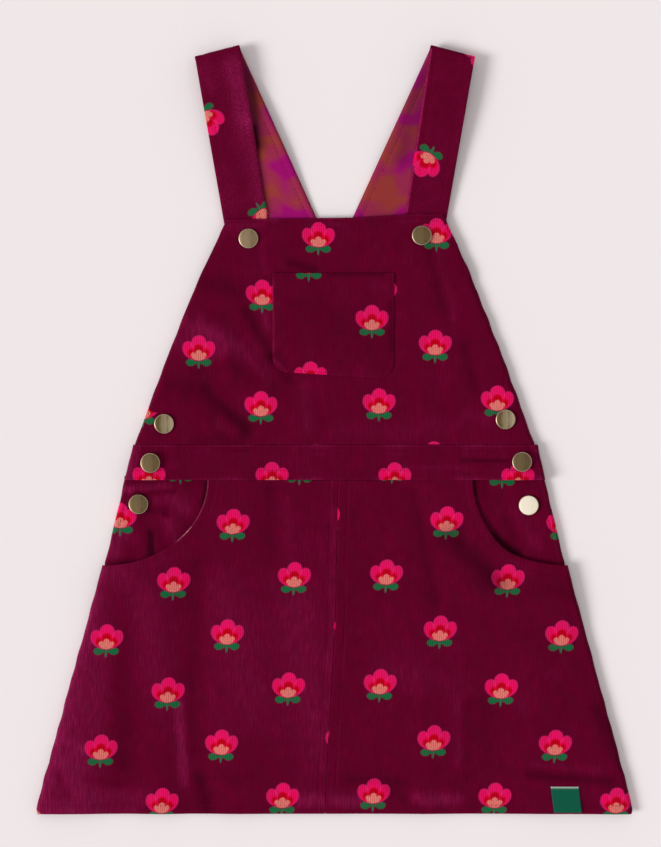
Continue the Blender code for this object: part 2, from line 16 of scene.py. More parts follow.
import bpy
import numpy as np
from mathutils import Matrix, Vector


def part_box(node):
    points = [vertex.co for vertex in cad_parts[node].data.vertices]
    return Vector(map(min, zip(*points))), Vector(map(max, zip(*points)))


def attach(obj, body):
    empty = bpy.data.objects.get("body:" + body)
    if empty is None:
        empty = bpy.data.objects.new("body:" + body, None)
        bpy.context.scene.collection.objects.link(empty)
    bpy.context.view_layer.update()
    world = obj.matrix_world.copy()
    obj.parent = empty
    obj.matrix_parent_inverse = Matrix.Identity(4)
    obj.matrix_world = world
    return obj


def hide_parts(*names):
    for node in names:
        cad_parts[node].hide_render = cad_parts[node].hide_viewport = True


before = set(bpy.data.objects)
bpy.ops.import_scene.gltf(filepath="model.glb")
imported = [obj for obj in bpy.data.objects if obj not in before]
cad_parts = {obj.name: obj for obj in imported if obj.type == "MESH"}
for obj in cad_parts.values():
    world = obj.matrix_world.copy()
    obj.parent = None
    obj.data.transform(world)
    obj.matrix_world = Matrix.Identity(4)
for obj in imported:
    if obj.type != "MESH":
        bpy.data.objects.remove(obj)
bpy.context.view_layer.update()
LOG = logging.getLogger("pinafore_dress")

MM = 0.001
BODY = "root"
WALE_PITCH = 1.6
WALE_HEIGHT = 0.2
LINES_PER_WALE = 4
LINE_STEP = WALE_PITCH / LINES_PER_WALE
COARSE = 8
SEAM_GAP = 0.05
STITCH_SINK = 0.05
EDGE_WAVER = 0.7
WAVER_LENGTH = 26.0
GROOVE_HALF = 0.9
PUCKER_LENGTH = 13.0
TURN_SCALE = 20.0
CREASE_ANGLE = math.radians(60)
GOLDEN_ANGLE = math.pi * (3.0 - math.sqrt(5.0))

Array = np.ndarray
Pair = tuple[float, float]
Material = bpy.types.Material
Piece = bpy.types.Object


class Slot(Enum):
    """The finish that a piece takes, by the name of its slot."""

    CORDUROY = "corduroy"
    LINING = "lining"
    BRASS = "brass"
    LABEL = "label"
    THREAD = "thread"


class Side(Enum):
    """Left or right of the laid-out front; the value is the sign of x there."""

    LEFT = -1
    RIGHT = 1

    @property
    def word(self) -> str:
        """The side's name in lower case."""
        return self.name.lower()

    def order(self, outer: Array, inner: Array) -> tuple[Array, Array]:
        """A piece's outer and inner edges as its left and right ones."""
        return (outer, inner) if self is Side.LEFT else (inner, outer)


# Plan geometry


def ease(low: float, high: float, value: Array) -> Array:
    """0 below low, 1 above high, and a smooth S between them: 3t^2 - 2t^3."""
    part = np.clip((value - low) / (high - low), 0.0, 1.0)
    return part * part * (3.0 - 2.0 * part)


def bell(distance: Array, half: float) -> Array:
    """A bell curve, 1 at no distance: e^-(distance / half)^2."""
    return np.exp(-(distance / half) ** 2)


def stack(*parts: Array) -> Array:
    """Points from matching arrays of each of their coordinates."""
    return np.stack(np.broadcast_arrays(*(np.asarray(part, dtype=float) for part in parts)), axis=-1)


def table(kind: type, *rows: tuple[float, ...]) -> tuple:
    """Things of one kind, each made from a row of its numbers."""
    return tuple(kind(*row) for row in rows)


def read_off(rows: tuple[Pair, ...], value: Array) -> Array:
    """The second column of a table at values of its first, straight between the rows."""
    return np.interp(value, *np.transpose(rows))


def between(first: Array, second: Array, share: Array) -> Array:
    """The place a share of the way from the first to the second."""
    return first * (1.0 - share) + second * share


def norms(vectors: Array) -> Array:
    """The length of each vector, as a column."""
    return np.linalg.norm(vectors, axis=1, keepdims=True)


def travelled(points: Array) -> Array:
    """How far along a path each of its points is."""
    runs = np.linalg.norm(np.diff(points, axis=0), axis=1)
    return np.concatenate([[0.0], np.cumsum(runs)])


def ripple(x: Array, y: Array, length: float) -> Array:
    """Gentle unevenness between -1 and 1.

    The weighted mean of six sine waves over the plan. Each wave is turned by the golden angle from the one
    before it, and is 0.83 times as long and as high.

    Args:
        x: Places across.
        y: Places along.
        length: Length of the longest wave.

    Returns:
        The height at each place.
    """
    total = np.zeros(np.shape(x))
    weights = 0.0
    for step in range(6):
        angle = step * GOLDEN_ANGLE
        shrink = 0.83 ** step
        phase = math.tau * (x * math.cos(angle) + y * math.sin(angle)) / (length * shrink)
        total = total + np.sin(phase + 1.7 * step) * shrink
        weights += shrink
    return total / weights


def rounding(distance: Array, radius: float) -> Array:
    """How far a rounded edge has dropped at a distance from it: a quarter circle of that radius."""
    into = np.clip(1.0 - distance / radius, 0.0, 1.0)
    return radius * (1.0 - np.sqrt(1.0 - into ** 2))


@dataclass(frozen=True)
class Section:
    """One crosswise section of the laid-out front: its y, and how far it reaches to the left and right."""

    y: float
    left: float
    right: float


def reach(sections: tuple[Section, ...], side: Side, y: Array) -> Array:
    """The x of a side edge at y, between the sections of a table, with the waver of a sewn edge.

    Args:
        sections: The table, in any order.
        side: Which edge.
        y: Where it is wanted.

    Returns:
        The edge's x at each y.
    """
    rows = sorted((row.y, getattr(row, side.word)) for row in sections)
    waver = ripple(50.0 * side.value, np.asarray(y, dtype=float), WAVER_LENGTH)
    return read_off(rows, y) + EDGE_WAVER * waver


@dataclass(frozen=True)
class Fold:
    """A soft fold along a straight line; a negative height makes it a trough."""

    x0: float
    y0: float
    x1: float
    y1: float
    half: float
    height: float

    def lift(self, x: Array, y: Array) -> Array:
        """Its height: a bell curve of the distance from the line, e^-(d/half)^2."""
        run_x, run_y = self.x1 - self.x0, self.y1 - self.y0
        along = ((x - self.x0) * run_x + (y - self.y0) * run_y) / (run_x ** 2 + run_y ** 2)
        along = np.clip(along, 0.0, 1.0)
        away = np.hypot(x - self.x0 - along * run_x, y - self.y0 - along * run_y)
        return self.height * bell(away, self.half)


@dataclass(frozen=True)
class Crease(Fold):
    """A sharper fold that is steep on one hand and fades at both ends."""

    def lift(self, x: Array, y: Array) -> Array:
        """Its height: a bell curve times a half sine along the line, with a shallow rise beside it."""
        run_x, run_y = self.x1 - self.x0, self.y1 - self.y0
        length = math.hypot(run_x, run_y)
        along = ((x - self.x0) * run_x + (y - self.y0) * run_y) / length ** 2
        beside = ((y - self.y0) * run_x - (x - self.x0) * run_y) / length
        fade = np.sin(math.pi * np.clip(along, 0.0, 1.0)) ** 0.7
        rise = bell(beside - 1.9 * self.half, 1.6 * self.half)
        return self.height * fade * (bell(beside, self.half) - 0.45 * rise)


@dataclass(frozen=True)
class Stroke(Fold):
    """Paler where positive, darker where negative: brushing of the pile, and painted light and shade."""


Folds = tuple[Fold, ...]
Strokes = tuple[Stroke, ...]


def lifted(folds: Folds, x: Array, y: Array) -> Array:
    """The heights of several folds together."""
    return sum((fold.lift(x, y) for fold in folds), np.zeros(np.shape(x)))


@dataclass(frozen=True)
class Line:
    """A line on the plan, such as an edge, a seam or a row of stitches, as points joined by straight runs."""

    points: Array

    def measure(self, x: Array, y: Array) -> tuple[Array, Array]:
        """Distance of each place from the line, and how far along the line its nearest point is.

        Args:
            x: Places across.
            y: Places along.

        Returns:
            The distance and the length along the line, for each place.
        """
        nearest = np.full(np.shape(x), np.inf)
        along = np.zeros(np.shape(x))
        start = 0.0
        for head, tail in zip(self.points[:-1], self.points[1:]):
            run = tail - head
            length = float(np.hypot(*run))
            share = np.clip(((x - head[0]) * run[0] + (y - head[1]) * run[1]) / length ** 2, 0.0, 1.0)
            away = np.hypot(x - head[0] - share * run[0], y - head[1] - share * run[1])
            closer = away < nearest
            nearest = np.where(closer, away, nearest)
            along = np.where(closer, start + share * length, along)
            start += length
        return nearest, along

    def shifted(self, distance: float) -> "Line":
        """The same line moved sideways, to the left of its run where distance is positive."""
        run = np.gradient(self.points, axis=0)
        return Line(self.points + stack(-run[:, 1], run[:, 0]) / norms(run) * distance)

    def part(self, start: float, end: float) -> "Line":
        """The stretch of the line between two shares of its number of points."""
        last = len(self.points) - 1
        return Line(self.points[round(start * last):round(end * last) + 1])


def straight(*corners: Pair) -> Line:
    """A line through the given corners."""
    return Line(np.array(corners, dtype=float))


@dataclass(frozen=True)
class Scoop:
    """A pocket mouth: a quarter ellipse about the side seam's waist end, a share fuller about one angle."""

    side: Side
    corner_x: float
    reach: float
    fullness: float = 0.0
    fullest_at: float = 52.0
    spread: float = 16.0
    depth: float = 63.5
    top: float = -37.9

    def curve(self, angles: Array, grow: float = 0.0) -> Array:
        """Its points: the corner plus (reach cos, depth sin) of the angle, both grown by the same amount.

        Both are also swelled by the fullness times e^-((angle - fullest_at) / spread)^2.
        """
        full = 1.0 + self.fullness * bell(np.degrees(angles) - self.fullest_at, self.spread)
        x = self.corner_x - self.side.value * (self.reach + grow) * full * np.cos(angles)
        y = self.top - SEAM_GAP - (self.depth + grow) * full * np.sin(angles)
        return stack(x, y)

    def beyond(self, x: Array, y: Array) -> Array:
        """How far outside the ellipse a place lies, measured on the ellipse's own scale."""
        u = np.maximum(self.side.value * (self.corner_x - x), 0.0) / self.reach
        v = np.maximum(self.top - y, 0.0) / self.depth
        return (np.hypot(u, v) - 1.0) * self.depth


# How the dress lies


@dataclass(frozen=True)
class FrontForm:
    """How the front lies on the back: its side edges, and the height of its underside at each place."""

    back_ply: float = 1.5
    gap: float = 0.3
    band_top: float = -11.3
    band_foot: float = -37.9
    hem: float = -288.4
    back_hem: float = -287.5
    strap_end_top: float = 4.6
    straps_from: float = 96.0
    straps_full: float = 121.0
    bib_sag: float = 1.1
    bib_sag_half: float = 34.0
    over_backing: float = 3.0
    backing_full: float = 15.0
    backing_fade: float = 55.0
    side_roll: float = 1.4
    side_roll_width: float = 2.2
    side_bulge: float = 3.2
    bulge_from: float = 8.0
    bulge_fade: float = 75.0
    backing_share: float = 0.8
    loft: float = 0.7
    loft_fade: float = 22.0
    lift_rounding: float = 0.5
    unevenness: float = 0.28
    bib: tuple[Section, ...] = table(
        Section, (162, -79, 79.8), (150, -84.7, 85.4), (138.4, -90.3, 91), (108.4, -104.2, 104.7),
        (78.4, -116.4, 116.8), (48.4, -128.1, 128.6), (18.4, -139, 139.7), (-11.3, -150, 150.2),
    )
    band: tuple[Section, ...] = table(
        Section, (-11.3, -151.2, 152.4), (-24, -154.5, 155.4), (-37.9, -157.4, 158.3),
    )
    backing: tuple[Section, ...] = table(
        Section, (-37.9, -157.8, 158), (-50, -160.3, 160.9), (-68, -164.7, 165.2),
        (-88, -169.5, 169.8), (-101.4, -172.8, 173.2),
    )
    skirt: tuple[Section, ...] = table(
        Section, (-101.4, -174, 174.8), (-128, -181.2, 181.9), (-173, -193.8, 194.2),
        (-218, -206, 206.4), (-263, -218.3, 218.7), (-288.4, -225.2, 224.9),
    )
    scoops: tuple[Scoop, ...] = (Scoop(Side.LEFT, -171.2, 76.0), Scoop(Side.RIGHT, 172.0, 68.3, 0.038))
    folds: Folds = table(
        Fold, (-97, 99, -66, 79, 10, -1.4), (-66, 79, -34, 32, 9, -1.5), (-94, 78, -52, 30, 10, 1.9),
        (-99, 32, -63, -8, 8, -1.5), (-114, 24, -86, -6, 9, 1.3), (-28, 20, -24, -8, 10, 1),
        (74, 122, 86, 76, 10, -1.2), (86, 76, 110, 20, 11, -1), (60, 66, 74, 8, 13, 1.1),
        (-105, -120, -107, -205, 11, -1.3), (-107, -205, -101, -287, 10, -1.8),
        (-133, -132, -131, -287, 14, 1.9), (-160, -195, -166, -287, 12, -0.9),
        (-76, -125, -72, -287, 15, 1.5), (-51, -44, -50, -100, 9, -0.8), (54, -44, 74, -124, 10, -1.2),
        (84, -78, 122, -106, 14, -1.1), (60, -126, 66, -287, 14, 1.4), (104, -200, 108, -287, 13, -1.4),
        (146, -170, 158, -287, 15, 1.6), (182, -211, 208, -228, 7, -1), (16, -190, 18, -287, 12, -0.6),
        (106, -86, 130, -98, 8, 1.8),
    )
    creases: Folds = table(
        Crease, (-8, -40, 32, -45, 2.6, -0.7), (-34, 126, -30, 118, 4, -0.7), (-70, 56, -50, 30, 3.2, -0.5),
        (-92, 44, -66, 12, 3.4, -0.5), (-84, 53, -67, 33, 3, 0.4), (84, 95, 92, 50, 4, -0.4),
        (166, -249, 198, -258, 3.2, -0.8), (172, -254, 206, -266, 2.6, 0.5), (5, -248, 48, -251, 3.4, -0.5),
        (-205, -233, -188, -240, 2.8, -0.6), (-208, -258, -200, -268, 3, -0.6),
        (-201, -196, -190, -204, 2.6, -0.5), (-140, -276, -136, -287, 2.2, -0.6),
        (80, -274, 84, -287, 2.4, -0.5), (196, -120, 170, -132, 3, -0.4), (60, -50, 70, -78, 3.2, -0.4),
    )

    @property
    def rest_height(self) -> float:
        """Where the front's underside lies with nothing but the back below it."""
        return self.back_ply + self.gap

    def side_edge(self, side: Side, y: Array) -> Array:
        """The laid-out front's side edge, which is the bib's, the band's, the backing's or the skirt's."""
        y = np.asarray(y, dtype=float)
        scoop_foot = self.band_foot - self.scoops[0].depth
        zones = (y >= self.band_top, y >= self.band_foot, y >= scoop_foot)
        above = [reach(sections, side, y) for sections in (self.bib, self.band, self.backing)]
        return np.select(zones, above, reach(self.skirt, side, y))

    def inside(self, x: Array, y: Array) -> Array:
        """How far a place lies inside the nearer side edge."""
        return np.minimum(x - self.side_edge(Side.LEFT, y), self.side_edge(Side.RIGHT, y) - x)

    def turn_down(self, x: Array, y: Array) -> Array:
        """How far the cloth turns down where it wraps round the side."""
        return self.side_roll * (1.0 - ease(0.0, self.side_roll_width, self.inside(x, y)))

    def bulge(self, x: Array, y: Array) -> Array:
        """How far the thick side seams hold the front up, sinking slowly towards the middle."""
        inside = self.inside(x, y)
        sinking = 1.0 - ease(self.bulge_from, self.bulge_fade, inside)
        return self.side_bulge * ease(0.0, self.side_roll_width, inside) * sinking

    def strap_cover(self, y: Array) -> Array:
        """1 where the bib lies over the strap ends, easing to 0 below them."""
        return ease(self.straps_from, self.straps_full, y)

    def mouth_lift(self, x: Array, y: Array) -> Array:
        """Lift of the skirt round its pocket mouths, where it lies over the backings."""
        lift = np.zeros_like(x)
        for scoop in self.scoops:
            spread = 1.0 - ease(self.backing_full, self.backing_fade, scoop.beyond(x, y))
            lift = np.maximum(lift, spread * (scoop.side.value * x > 0))
        return self.over_backing * lift * (1.0 - ease(self.band_foot, self.band_top, y))

    def fold_lift(self, x: Array, y: Array) -> Array:
        """Height of the large folds, kept above zero by a smooth rounding and faded out at the sides."""
        lift = self.loft + lifted(self.folds, x, y)
        raised = 0.5 * (lift + np.sqrt(lift ** 2 + self.lift_rounding ** 2))
        return raised * ease(0.0, self.loft_fade, self.inside(x, y))

    def fine_lift(self, x: Array, y: Array) -> Array:
        """Height of the small creases and of the cloth's own unevenness."""
        uneven = self.unevenness * (ripple(x, y, 70.0) + 0.6 * ripple(x, y, 21.0))
        return (lifted(self.creases, x, y) + uneven) * ease(0.0, 9.0, self.inside(x, y))

    def rest(self, x: Array, y: Array) -> Array:
        """Underside of the front panels: the rest height, the lifts and folds, and the shape of the sides."""
        cover = self.strap_cover(y)
        over_straps = self.strap_end_top + self.gap - self.rest_height
        sag = self.bib_sag * bell(x, self.bib_sag_half)
        folds = self.fold_lift(x, y) * (1.0 - 0.8 * cover)
        fine = self.fine_lift(x, y) * (1.0 - 0.5 * cover)
        sides = (self.bulge(x, y) - self.turn_down(x, y)) * (1.0 - cover)
        return self.rest_height + cover * (over_straps - sag) + self.mouth_lift(x, y) + folds + fine + sides

    def backing_rest(self, x: Array, y: Array) -> Array:
        """Underside of the pocket backings, which rise from the back skirt towards the side seams."""
        return self.rest_height + self.backing_share * self.bulge(x, y) - self.turn_down(x, y)


# Shader graphs


class Link:
    """An output of a shader node. Arithmetic on it adds Math nodes to its graph."""

    def __init__(self, graph: "Graph", socket: bpy.types.NodeSocket) -> None:
        """Wrap a node's output socket."""
        self.graph = graph
        self.socket = socket

    def __add__(self, other: "Value") -> "Link":
        """Sum."""
        return self.graph.maths("ADD", self, other)

    def __sub__(self, other: "Value") -> "Link":
        """Difference."""
        return self.graph.maths("SUBTRACT", self, other)

    def __rsub__(self, other: float) -> "Link":
        """Difference from a number."""
        return self.graph.maths("SUBTRACT", other, self)

    def __mul__(self, other: "Value") -> "Link":
        """Product."""
        return self.graph.maths("MULTIPLY", self, other)

    def __truediv__(self, other: "Value") -> "Link":
        """Quotient."""
        return self.graph.maths("DIVIDE", self, other)

    def __pow__(self, other: float) -> "Link":
        """Power."""
        return self.graph.maths("POWER", self, other)

    def __abs__(self) -> "Link":
        """Size without its sign."""
        return self.graph.maths("ABSOLUTE", self)

    __radd__ = __add__
    __rmul__ = __mul__

    def larger(self, other: "Value") -> "Link":
        """The larger of the two."""
        return self.graph.maths("MAXIMUM", self, other)

    def clamped(self) -> "Link":
        """The value kept between 0 and 1."""
        return self.graph.node("ShaderNodeClamp", inputs={0: self})

    def above(self, low: float, high: float) -> "Link":
        """0 below low, 1 above high and straight between them."""
        return ((self - low) / (high - low)).clamped()


Value = Link | float
Colour = Link | tuple


class Graph:
    """The node graph of one material, which ends in a Principled shader."""

    def __init__(self, name: str) -> None:
        """Start an empty material of that name."""
        self.material = bpy.data.materials.new(name)
        self.material.use_nodes = True
        self.tree = self.material.node_tree
        self.tree.nodes.clear()

    def node(self, kind: str, settings: dict | None = None, inputs: dict | None = None,
             output: int | str = 0) -> Link:
        """Add one node.

        Args:
            kind: The node's type.
            settings: Its own settings, which are made first.
            inputs: Values or links for its sockets, by name or number.
            output: Which of its outputs is wanted.

        Returns:
            That output.
        """
        made = self.tree.nodes.new(kind)
        for key, value in (settings or {}).items():
            setattr(made, key, value)
        for key, value in (inputs or {}).items():
            if isinstance(value, Link):
                self.tree.links.new(value.socket, made.inputs[key])
            else:
                made.inputs[key].default_value = value
        return Link(self, made.outputs[output])

    def maths(self, operation: str, first: Value, second: Value | None = None) -> Link:
        """Add a Math node."""
        inputs = {0: first} if second is None else {0: first, 1: second}
        return self.node("ShaderNodeMath", {"operation": operation}, inputs)

    def blend(self, share: Link, first: Value, second: Value) -> Link:
        """A number between two others."""
        return self.node("ShaderNodeMix", {"data_type": "FLOAT"}, {0: share, 2: first, 3: second})

    def mix(self, share: Value, first: Colour, second: Colour) -> Link:
        """A colour between two others."""
        return self.node("ShaderNodeMix", {"data_type": "RGBA"}, {0: share, 6: first, 7: second}, output=2)

    def shaded(self, colour: Colour, share: Link) -> Link:
        """A colour times a number."""
        grey = self.node("ShaderNodeCombineColor", inputs={0: share, 1: share, 2: share})
        settings = {"data_type": "RGBA", "blend_type": "MULTIPLY"}
        return self.node("ShaderNodeMix", settings, {0: 1.0, 6: colour, 7: grey}, output=2)

    def cloth_place(self, layer: str = "cloth") -> tuple[Link, Link]:
        """Millimetres across and along the cloth, from the piece's UV map."""
        uv = self.node("ShaderNodeUVMap", {"uv_map": layer})
        return tuple(self.node("ShaderNodeSeparateXYZ", inputs={0: uv}, output=axis) / MM for axis in (0, 1))

    def noise(self, x: Link, y: Link, seed: float, detail: float = 3.0) -> Link:
        """Noise between 0 and 1 over two coordinates, one cell to a unit."""
        place = self.node("ShaderNodeCombineXYZ", inputs={0: x, 1: y, 2: seed})
        return self.node("ShaderNodeTexNoise", inputs={"Vector": place, "Scale": 1.0, "Detail": detail})

    def attribute(self, name: str) -> Link:
        """A number that the piece's mesh carries at each point."""
        return self.node("ShaderNodeAttribute", {"attribute_name": name}, output="Fac")

    def bump(self, height: Link, depth: float, strength: float = 1.0) -> Link:
        """A normal from a height between 0 and 1, where 1 stands depth metres high."""
        return self.node("ShaderNodeBump", inputs={"Height": height, "Distance": depth, "Strength": strength},
                         output="Normal")

    def finish(self, colour: Colour, roughness: Value, normal: Link | None = None,
               **constants: "float | tuple") -> Material:
        """End the graph in a Principled shader.

        Args:
            colour: Base colour.
            roughness: Roughness.
            normal: The bumped normal, if there is one.
            constants: Fixed values for other sockets, by name with _ for a space.

        Returns:
            The material.
        """
        inputs = {key.replace("_", " "): value for key, value in constants.items()}
        inputs.update({"Base Color": colour, "Roughness": roughness})
        if normal is not None:
            inputs["Normal"] = normal
        surface = self.node("ShaderNodeBsdfPrincipled", inputs=inputs)
        output = self.tree.nodes.new("ShaderNodeOutputMaterial")
        self.tree.links.new(surface.socket, output.inputs["Surface"])
        return self.material


def shade(red: int, green: int, blue: int) -> tuple[float, float, float, float]:
    """A colour as shaders want it, from its screen values 0 to 255."""
    parts = (value / 255.0 for value in (red, green, blue))
    return (*(part / 12.92 if part <= 0.04045 else ((part + 0.055) / 1.055) ** 2.4 for part in parts), 1.0)


@dataclass(frozen=True)
class PrintGrid:
    """Where the printed flowers sit: an even grid, and the same grid again moved by odd.

    across and down are the steps of the grid on the plan; lean is how far the wales drift in x for each
    millimetre of y, which the print shares.
    """

    origin: Pair
    across: Pair = (89.0, 0.0)
    down: Pair = (0.0, -82.5)
    odd: Pair = (44.5, -41.2)
    lean: float = 0.0

    def on_cloth(self, step: Pair) -> Pair:
        """A step on the plan as one across and along the cloth."""
        return step[0] - self.lean * step[1], step[1]

    def offset(self, graph: Graph, x: Link, y: Link, start: Pair) -> tuple[Link, Link]:
        """Vector from the nearest point of one grid to the place being shaded.

        The place less the grid's start is written as i steps across and k steps down by the inverse of the
        two steps' matrix; i and k are rounded to whole numbers, and those whole steps are taken off again.
        """
        ax, ay = self.on_cloth(self.across)
        dx, dy = self.on_cloth(self.down)
        scale = 1.0 / (ax * dy - ay * dx)
        px, py = x - start[0], y - start[1]
        i = graph.maths("ROUND", px * (dy * scale) - py * (dx * scale))
        k = graph.maths("ROUND", py * (ax * scale) - px * (ay * scale))
        return px - i * ax - k * dx, py - i * ay - k * dy

    def nearest(self, graph: Graph, x: Link, y: Link) -> tuple[Link, Link]:
        """Vector from the nearest flower of either grid to the place being shaded."""
        start = self.on_cloth(self.origin)
        odd = self.on_cloth(self.odd)
        even_x, even_y = self.offset(graph, x, y, start)
        odd_x, odd_y = self.offset(graph, x, y, (start[0] + odd[0], start[1] + odd[1]))
        closer = graph.maths("LESS_THAN", odd_x * odd_x + odd_y * odd_y, even_x * even_x + even_y * even_y)
        return graph.blend(closer, even_x, odd_x), graph.blend(closer, even_y, odd_y)


@dataclass(frozen=True)
class Petal:
    """An ellipse of the printed flower; it is drawn on both sides of the flower's middle where x isn't 0."""

    x: float
    y: float
    half_x: float
    half_y: float
    turn: float = 0.0

    def mask(self, x: Link, y: Link, soft: float) -> Link:
        """1 inside, 0 outside, and straight over the soft edge: the ellipse's radius less the place's."""
        cos, sin = math.cos(math.radians(self.turn)), math.sin(math.radians(self.turn))
        px, py = x - self.x, y - self.y
        along = (px * cos + py * sin) / self.half_x
        across = (py * cos - px * sin) / self.half_y
        radius = (along * along + across * across) ** 0.5
        return ((1.0 - radius) * (min(self.half_x, self.half_y) / soft) + 0.5).clamped()


@dataclass(frozen=True)
class FlowerPrint:
    """A small flower: a middle petal over two side petals in a cup, a scalloped heart and two leaves."""

    soft: float = 0.85
    middle_petal: tuple = shade(230, 18, 96)
    side_petal: tuple = shade(227, 14, 90)
    petal_edge: tuple = shade(200, 30, 98)
    vein: tuple = shade(240, 66, 128)
    heart_rim: tuple = shade(222, 8, 54)
    heart_colour: tuple = shade(186, 0, 26)
    peach: tuple = shade(236, 130, 118)
    peach_shade: tuple = shade(208, 100, 98)
    leaf_colour: tuple = shade(20, 104, 62)
    stem_colour: tuple = shade(48, 104, 76)
    crown: Petal = Petal(0.0, 6.5, 5.6, 5.5)
    cup: Petal = Petal(0.0, 2.5, 12.3, 9.3)
    sides: tuple[Petal, ...] = table(Petal, (8.2, 3, 4.6, 4.6), (0, -6, 30, 10.6))
    heart: tuple[Petal, ...] = table(
        Petal, (0, 1.6, 4.1, 3.9), (6, -1, 2.5, 3.2), (0, -2.8, 6.7, 3.8),
    )
    heart_cup: Petal = Petal(0.0, 2.5, 11.3, 8.8)
    middle: tuple[Petal, ...] = table(
        Petal, (0, -1.3, 2.3, 2.3), (4, -2.6, 1.75, 1.7), (0, -4, 4.9, 2.8),
    )
    leaves: tuple[Petal, ...] = table(Petal, (6, -8.4, 3.3, 2.5, 8), (3.1, -8.3, 2.6, 1.2))
    stem: Petal = Petal(0.0, -9.8, 0.85, 2.9)

    def cover(self, shapes: tuple[Petal, ...], x: Link, y: Link, soft: float | None = None) -> Link:
        """The mask of several shapes together."""
        return reduce(Link.larger, [shape.mask(x, y, soft or self.soft) for shape in shapes])

    def bloom(self, x: Link, y: Link, soft: float) -> Link:
        """All the petals: the middle one, and what of the side ones lies in the cup."""
        cupped = self.cover(self.sides, x, y, soft) * self.cup.mask(x, y, soft)
        return self.crown.mask(x, y, soft).larger(cupped)

    def paint(self, graph: Graph, grid: PrintGrid, x: Link, y: Link, ground: Link) -> tuple[Link, Link]:
        """The ground with the flowers over it, back to front, and the mask of the flowers."""
        fx, fy = grid.nearest(graph, x, y)
        ragged = graph.noise(x * 1.3, y * 0.7, 3.0, 2.0) - 0.5
        spot = abs(fx + ragged * 0.5), fy + ragged * 1.3
        bloom = self.bloom(*spot, self.soft)
        inner = self.bloom(*spot, 2.4) * 2.0 - 1.0
        crown = self.crown.mask(*spot, 1.0)
        petal = graph.mix(crown, self.side_petal, self.middle_petal)
        petal = graph.mix((crown - crown * crown) * 1.6, petal, self.vein)
        petal = graph.mix(inner.clamped(), self.petal_edge, petal)
        colour = graph.mix(bloom, ground, petal)
        heart_cup = self.heart_cup.mask(*spot, self.soft)
        heart = self.cover(self.heart, *spot, 0.9) * heart_cup
        deep = self.cover(self.heart, *spot, 3.0) * heart_cup
        heart_paint = graph.mix((deep * 2.0 - 1.0).clamped(), self.heart_rim, self.heart_colour)
        colour = graph.mix(heart, colour, heart_paint)
        dapple = graph.noise(x * 1.1, y * 0.8, 5.0, 2.0).above(0.3, 0.7)
        peach = graph.mix(dapple, self.peach_shade, self.peach)
        colour = graph.mix(self.cover(self.middle, *spot, 0.7), colour, peach)
        leaves = self.cover(self.leaves, *spot) * (1.0 - bloom)
        colour = graph.mix(leaves, colour, self.leaf_colour)
        stem = self.stem.mask(*spot, 0.5) * (1.0 - bloom)
        return graph.mix(stem, colour, self.stem_colour), bloom.larger(leaves.larger(stem))


